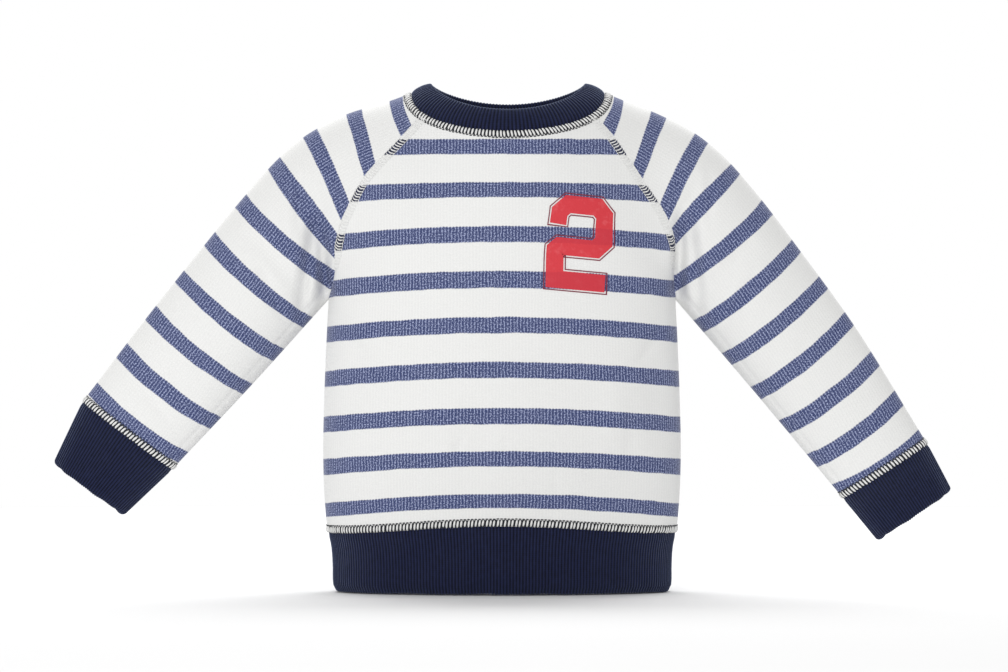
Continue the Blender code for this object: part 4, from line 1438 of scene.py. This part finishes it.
def makeNumber():
    # The stroke's profile is carried along the path with mitred corners and laid on the front
    path = numberPath()
    steps = np.linalg.norm(np.diff(path, axis=0), axis=1)
    direction = np.diff(path, axis=0) / steps[:, None]
    before = np.concatenate((direction[:1], direction))
    after = np.concatenate((direction, direction[-1:]))
    mitre = before + after
    mitre = mitre / (np.linalg.norm(mitre, axis=1) ** 2 / 2.0)[:, None]
    sideways = np.stack((-mitre[:, 1], mitre[:, 0]), axis=-1)
    corners = np.concatenate(([0.0], np.cumsum(steps)))
    rim, gap = number["outline"], number["gap"]
    inside = np.arange(rim + gap, corners[-1] - rim - gap, number["step"])
    along = np.unique(np.concatenate(([0.0, rim], inside, corners[1:-1], [corners[-1] - rim - gap],
                                      [corners[-1] - rim, corners[-1]])).round(4))
    along = along[np.concatenate(([True], np.diff(along) > number["leastStep"]))]
    half = number["stroke"] / 2.0
    core = half - rim - gap
    inner = np.linspace(-core, core, number["coreColumns"])
    across = np.concatenate(([-half, -half + rim], inner, [half - rim, half]))
    line = np.stack([np.interp(along, corners, path[:, k]) for k in range(2)], axis=-1)
    spread = np.stack([np.interp(along, corners, sideways[:, k]) for k in range(2)], axis=-1)
    flat = line[None] + across[:, None, None] * spread[None]
    x = number["centre"][0] + flat[..., 0] + number["slant"] * flat[..., 1]
    z = number["centre"][1] + flat[..., 1] - number["slope"] * flat[..., 0]

    def onFront(a, b):
        return placed(a, -formDepth(a, b, "front"), b)

    points = onFront(x, z)
    alongX = onFront(x + 0.5, z) - onFront(x - 0.5, z)
    alongZ = onFront(x, z + 0.5) - onFront(x, z - 0.5)
    normals = unitVectors(np.cross(alongX, alongZ))
    outer = points + (number["lift"] + number["thickness"]) * normals
    inner = points + (number["lift"] - number["sunk"]) * normals
    edge = np.minimum(half - np.abs(across)[:, None], np.minimum(along, corners[-1] - along)[None])
    quads = gridFaces(gridIndex(x.shape))
    depthAt = edge.ravel()[quads]
    isRim = depthAt.max(axis=1) <= rim + 1e-3
    isCore = depthAt.min(axis=1) >= rim + gap - 1e-3
    course = bodyStripe(points[..., 0], z) * stripes["period"]
    uv = np.stack((bodyWale(x, z), course), axis=-1).reshape(-1, 2)
    vertices = np.concatenate((outer.reshape(-1, 3), inner.reshape(-1, 3)))
    pieces = []
    for name, chosen, mark in (("numberOutline", isRim, 1.0), ("numberFill", isCore, 0.0)):
        faces = shellFaces(quads[chosen], x.size)[0]
        pieces.append(bodyObject(name, vertices, faces, faces % x.size, uv, printInk, {"outline": mark}))
    return pieces


numberPieces = makeNumber()
print("number made")

# Who rides, its finish, and what each piece stands for
rides = [
    (front, "striped_jersey", ("front",)),
    (back, "striped_jersey", ("back",)),
    (sleeveCloth["left"], "striped_jersey", ("sleeve_left_front", "sleeve_left_back")),
    (sleeveCloth["right"], "striped_jersey", ("sleeve_right_front", "sleeve_right_back")),
    (neck, "navy_rib", ("neckband",)),
    (cuffs["left"], "navy_rib", ("cuff_left",)),
    (cuffs["right"], "navy_rib", ("cuff_right",)),
    (hemBand, "navy_rib", ("hem_band",)),
]
for piece, finish, nodes in rides:
    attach(piece, "root")
    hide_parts(*nodes)
trimmings = [piece for pieces in sewing.values() for piece in pieces]
trimmings += [piece for pieces in raglanSews.values() for piece in pieces] + numberPieces
for piece in trimmings:
    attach(piece, "root")

# Studio: a round pale floor in a white surround, a large soft light in front, one above and behind.
# Each light has a name, place, target, width and height, and energy
studio = {
    "floorHeight": -395.7,
    "floorRadius": 2000.0,
    "floorDepth": 4.0,
    "floorColour": (0.765, 0.765, 0.765, 1.0),
    "surround": (1.0, 1.0, 1.0, 1.0),
    "surroundStrength": 0.50,
    "lights": (
        ("frontSoft", (-0.3, -3.4, 0.9), (0.0, 0.0, -0.2), (2.0, 1.2), 60.0),
        ("sideLeft", (-2.6, -1.0, 0.3), (0.0, 0.0, -0.2), (1.0, 1.4), 9.0),
        ("topBehind", (0.0, 1.7, 2.2), (0.0, 0.0, -0.4), (3.2, 1.4), 100.0),
    ),
    "cameraPlace": (0.0016, -4.0, -0.1912),
    "cameraLens": 178.6,
}


def makeFloor():
    # A disc: rings of points round the origin, from a small one in the middle out to the rim
    u, v = np.meshgrid(np.linspace(-math.pi, math.pi, 97), np.linspace(0.02, 1.0, 8))
    radius = studio["floorRadius"] * v
    height = np.full_like(u, studio["floorHeight"])
    points = np.stack((radius * np.sin(u), -radius * np.cos(u), height), axis=-1)
    material, _, shader = clothShader("studioPaper", 1.0, 0.0, specular=0.0)
    shader.inputs["Base Color"].default_value = studio["floorColour"]
    below = points - np.array((0.0, 0.0, studio["floorDepth"]))
    flat = np.zeros(u.shape + (2,))
    closedWall("studioFloor", points, below, flat, material, gridIndex(u.shape, True))


def addLight(name, place, target, size, energy):
    light = bpy.data.lights.new(name, "AREA")
    light.shape = "RECTANGLE"
    light.size, light.size_y = size
    light.energy = energy
    item = bpy.data.objects.new(name, light)
    item.location = place
    direction = np.array(target) - np.array(place)
    flat = math.hypot(direction[0], direction[1])
    item.rotation_euler = (math.atan2(flat, -direction[2]), 0.0, math.atan2(-direction[0], direction[1]))
    bpy.context.scene.collection.objects.link(item)
    return item


makeFloor()
lit = {row[0]: addLight(*row) for row in studio["lights"]}
# Only the trunk throws the top light's shadow on the floor
passed = bpy.data.collections.new("letThrough")
for piece in list(sleeveCloth.values()) + list(cuffs.values()) + sewing["cuffLeft"] + sewing["cuffRight"]:
    passed.objects.link(piece)
for entry in passed.collection_objects:
    entry.light_linking.link_state = "EXCLUDE"
lit["topBehind"].light_linking.blocker_collection = passed

# The surround lights the cloth softly and looks white
world = bpy.data.worlds.new("softRoom")
world.use_nodes = True
room = world.node_tree
glow = room.nodes["Background"]
glow.inputs["Color"].default_value = studio["surround"]
glow.inputs["Strength"].default_value = studio["surroundStrength"]
white = addNode(room, "Background", {"Color": studio["surround"], "Strength": 1.0})
seen = addNode(room, "LightPath").outputs["Is Camera Ray"]
both = addNode(room, "MixShader", {0: seen, 1: glow.outputs[0], 2: white.outputs[0]})
room.links.new(both.outputs[0], room.nodes["World Output"].inputs["Surface"])
bpy.context.scene.world = world
bpy.context.scene.view_settings.view_transform = "Standard"

camera = bpy.data.cameras.new("camera")
camera.lens = studio["cameraLens"]
camera.sensor_width = 36.0
camera.clip_end = 50.0
cameraObject = bpy.data.objects.new("camera", camera)
cameraObject.location = studio["cameraPlace"]
cameraObject.rotation_euler = (math.pi / 2.0, 0.0, 0.0)
bpy.context.scene.collection.objects.link(cameraObject)
bpy.context.scene.camera = cameraObject
print("studio ready")
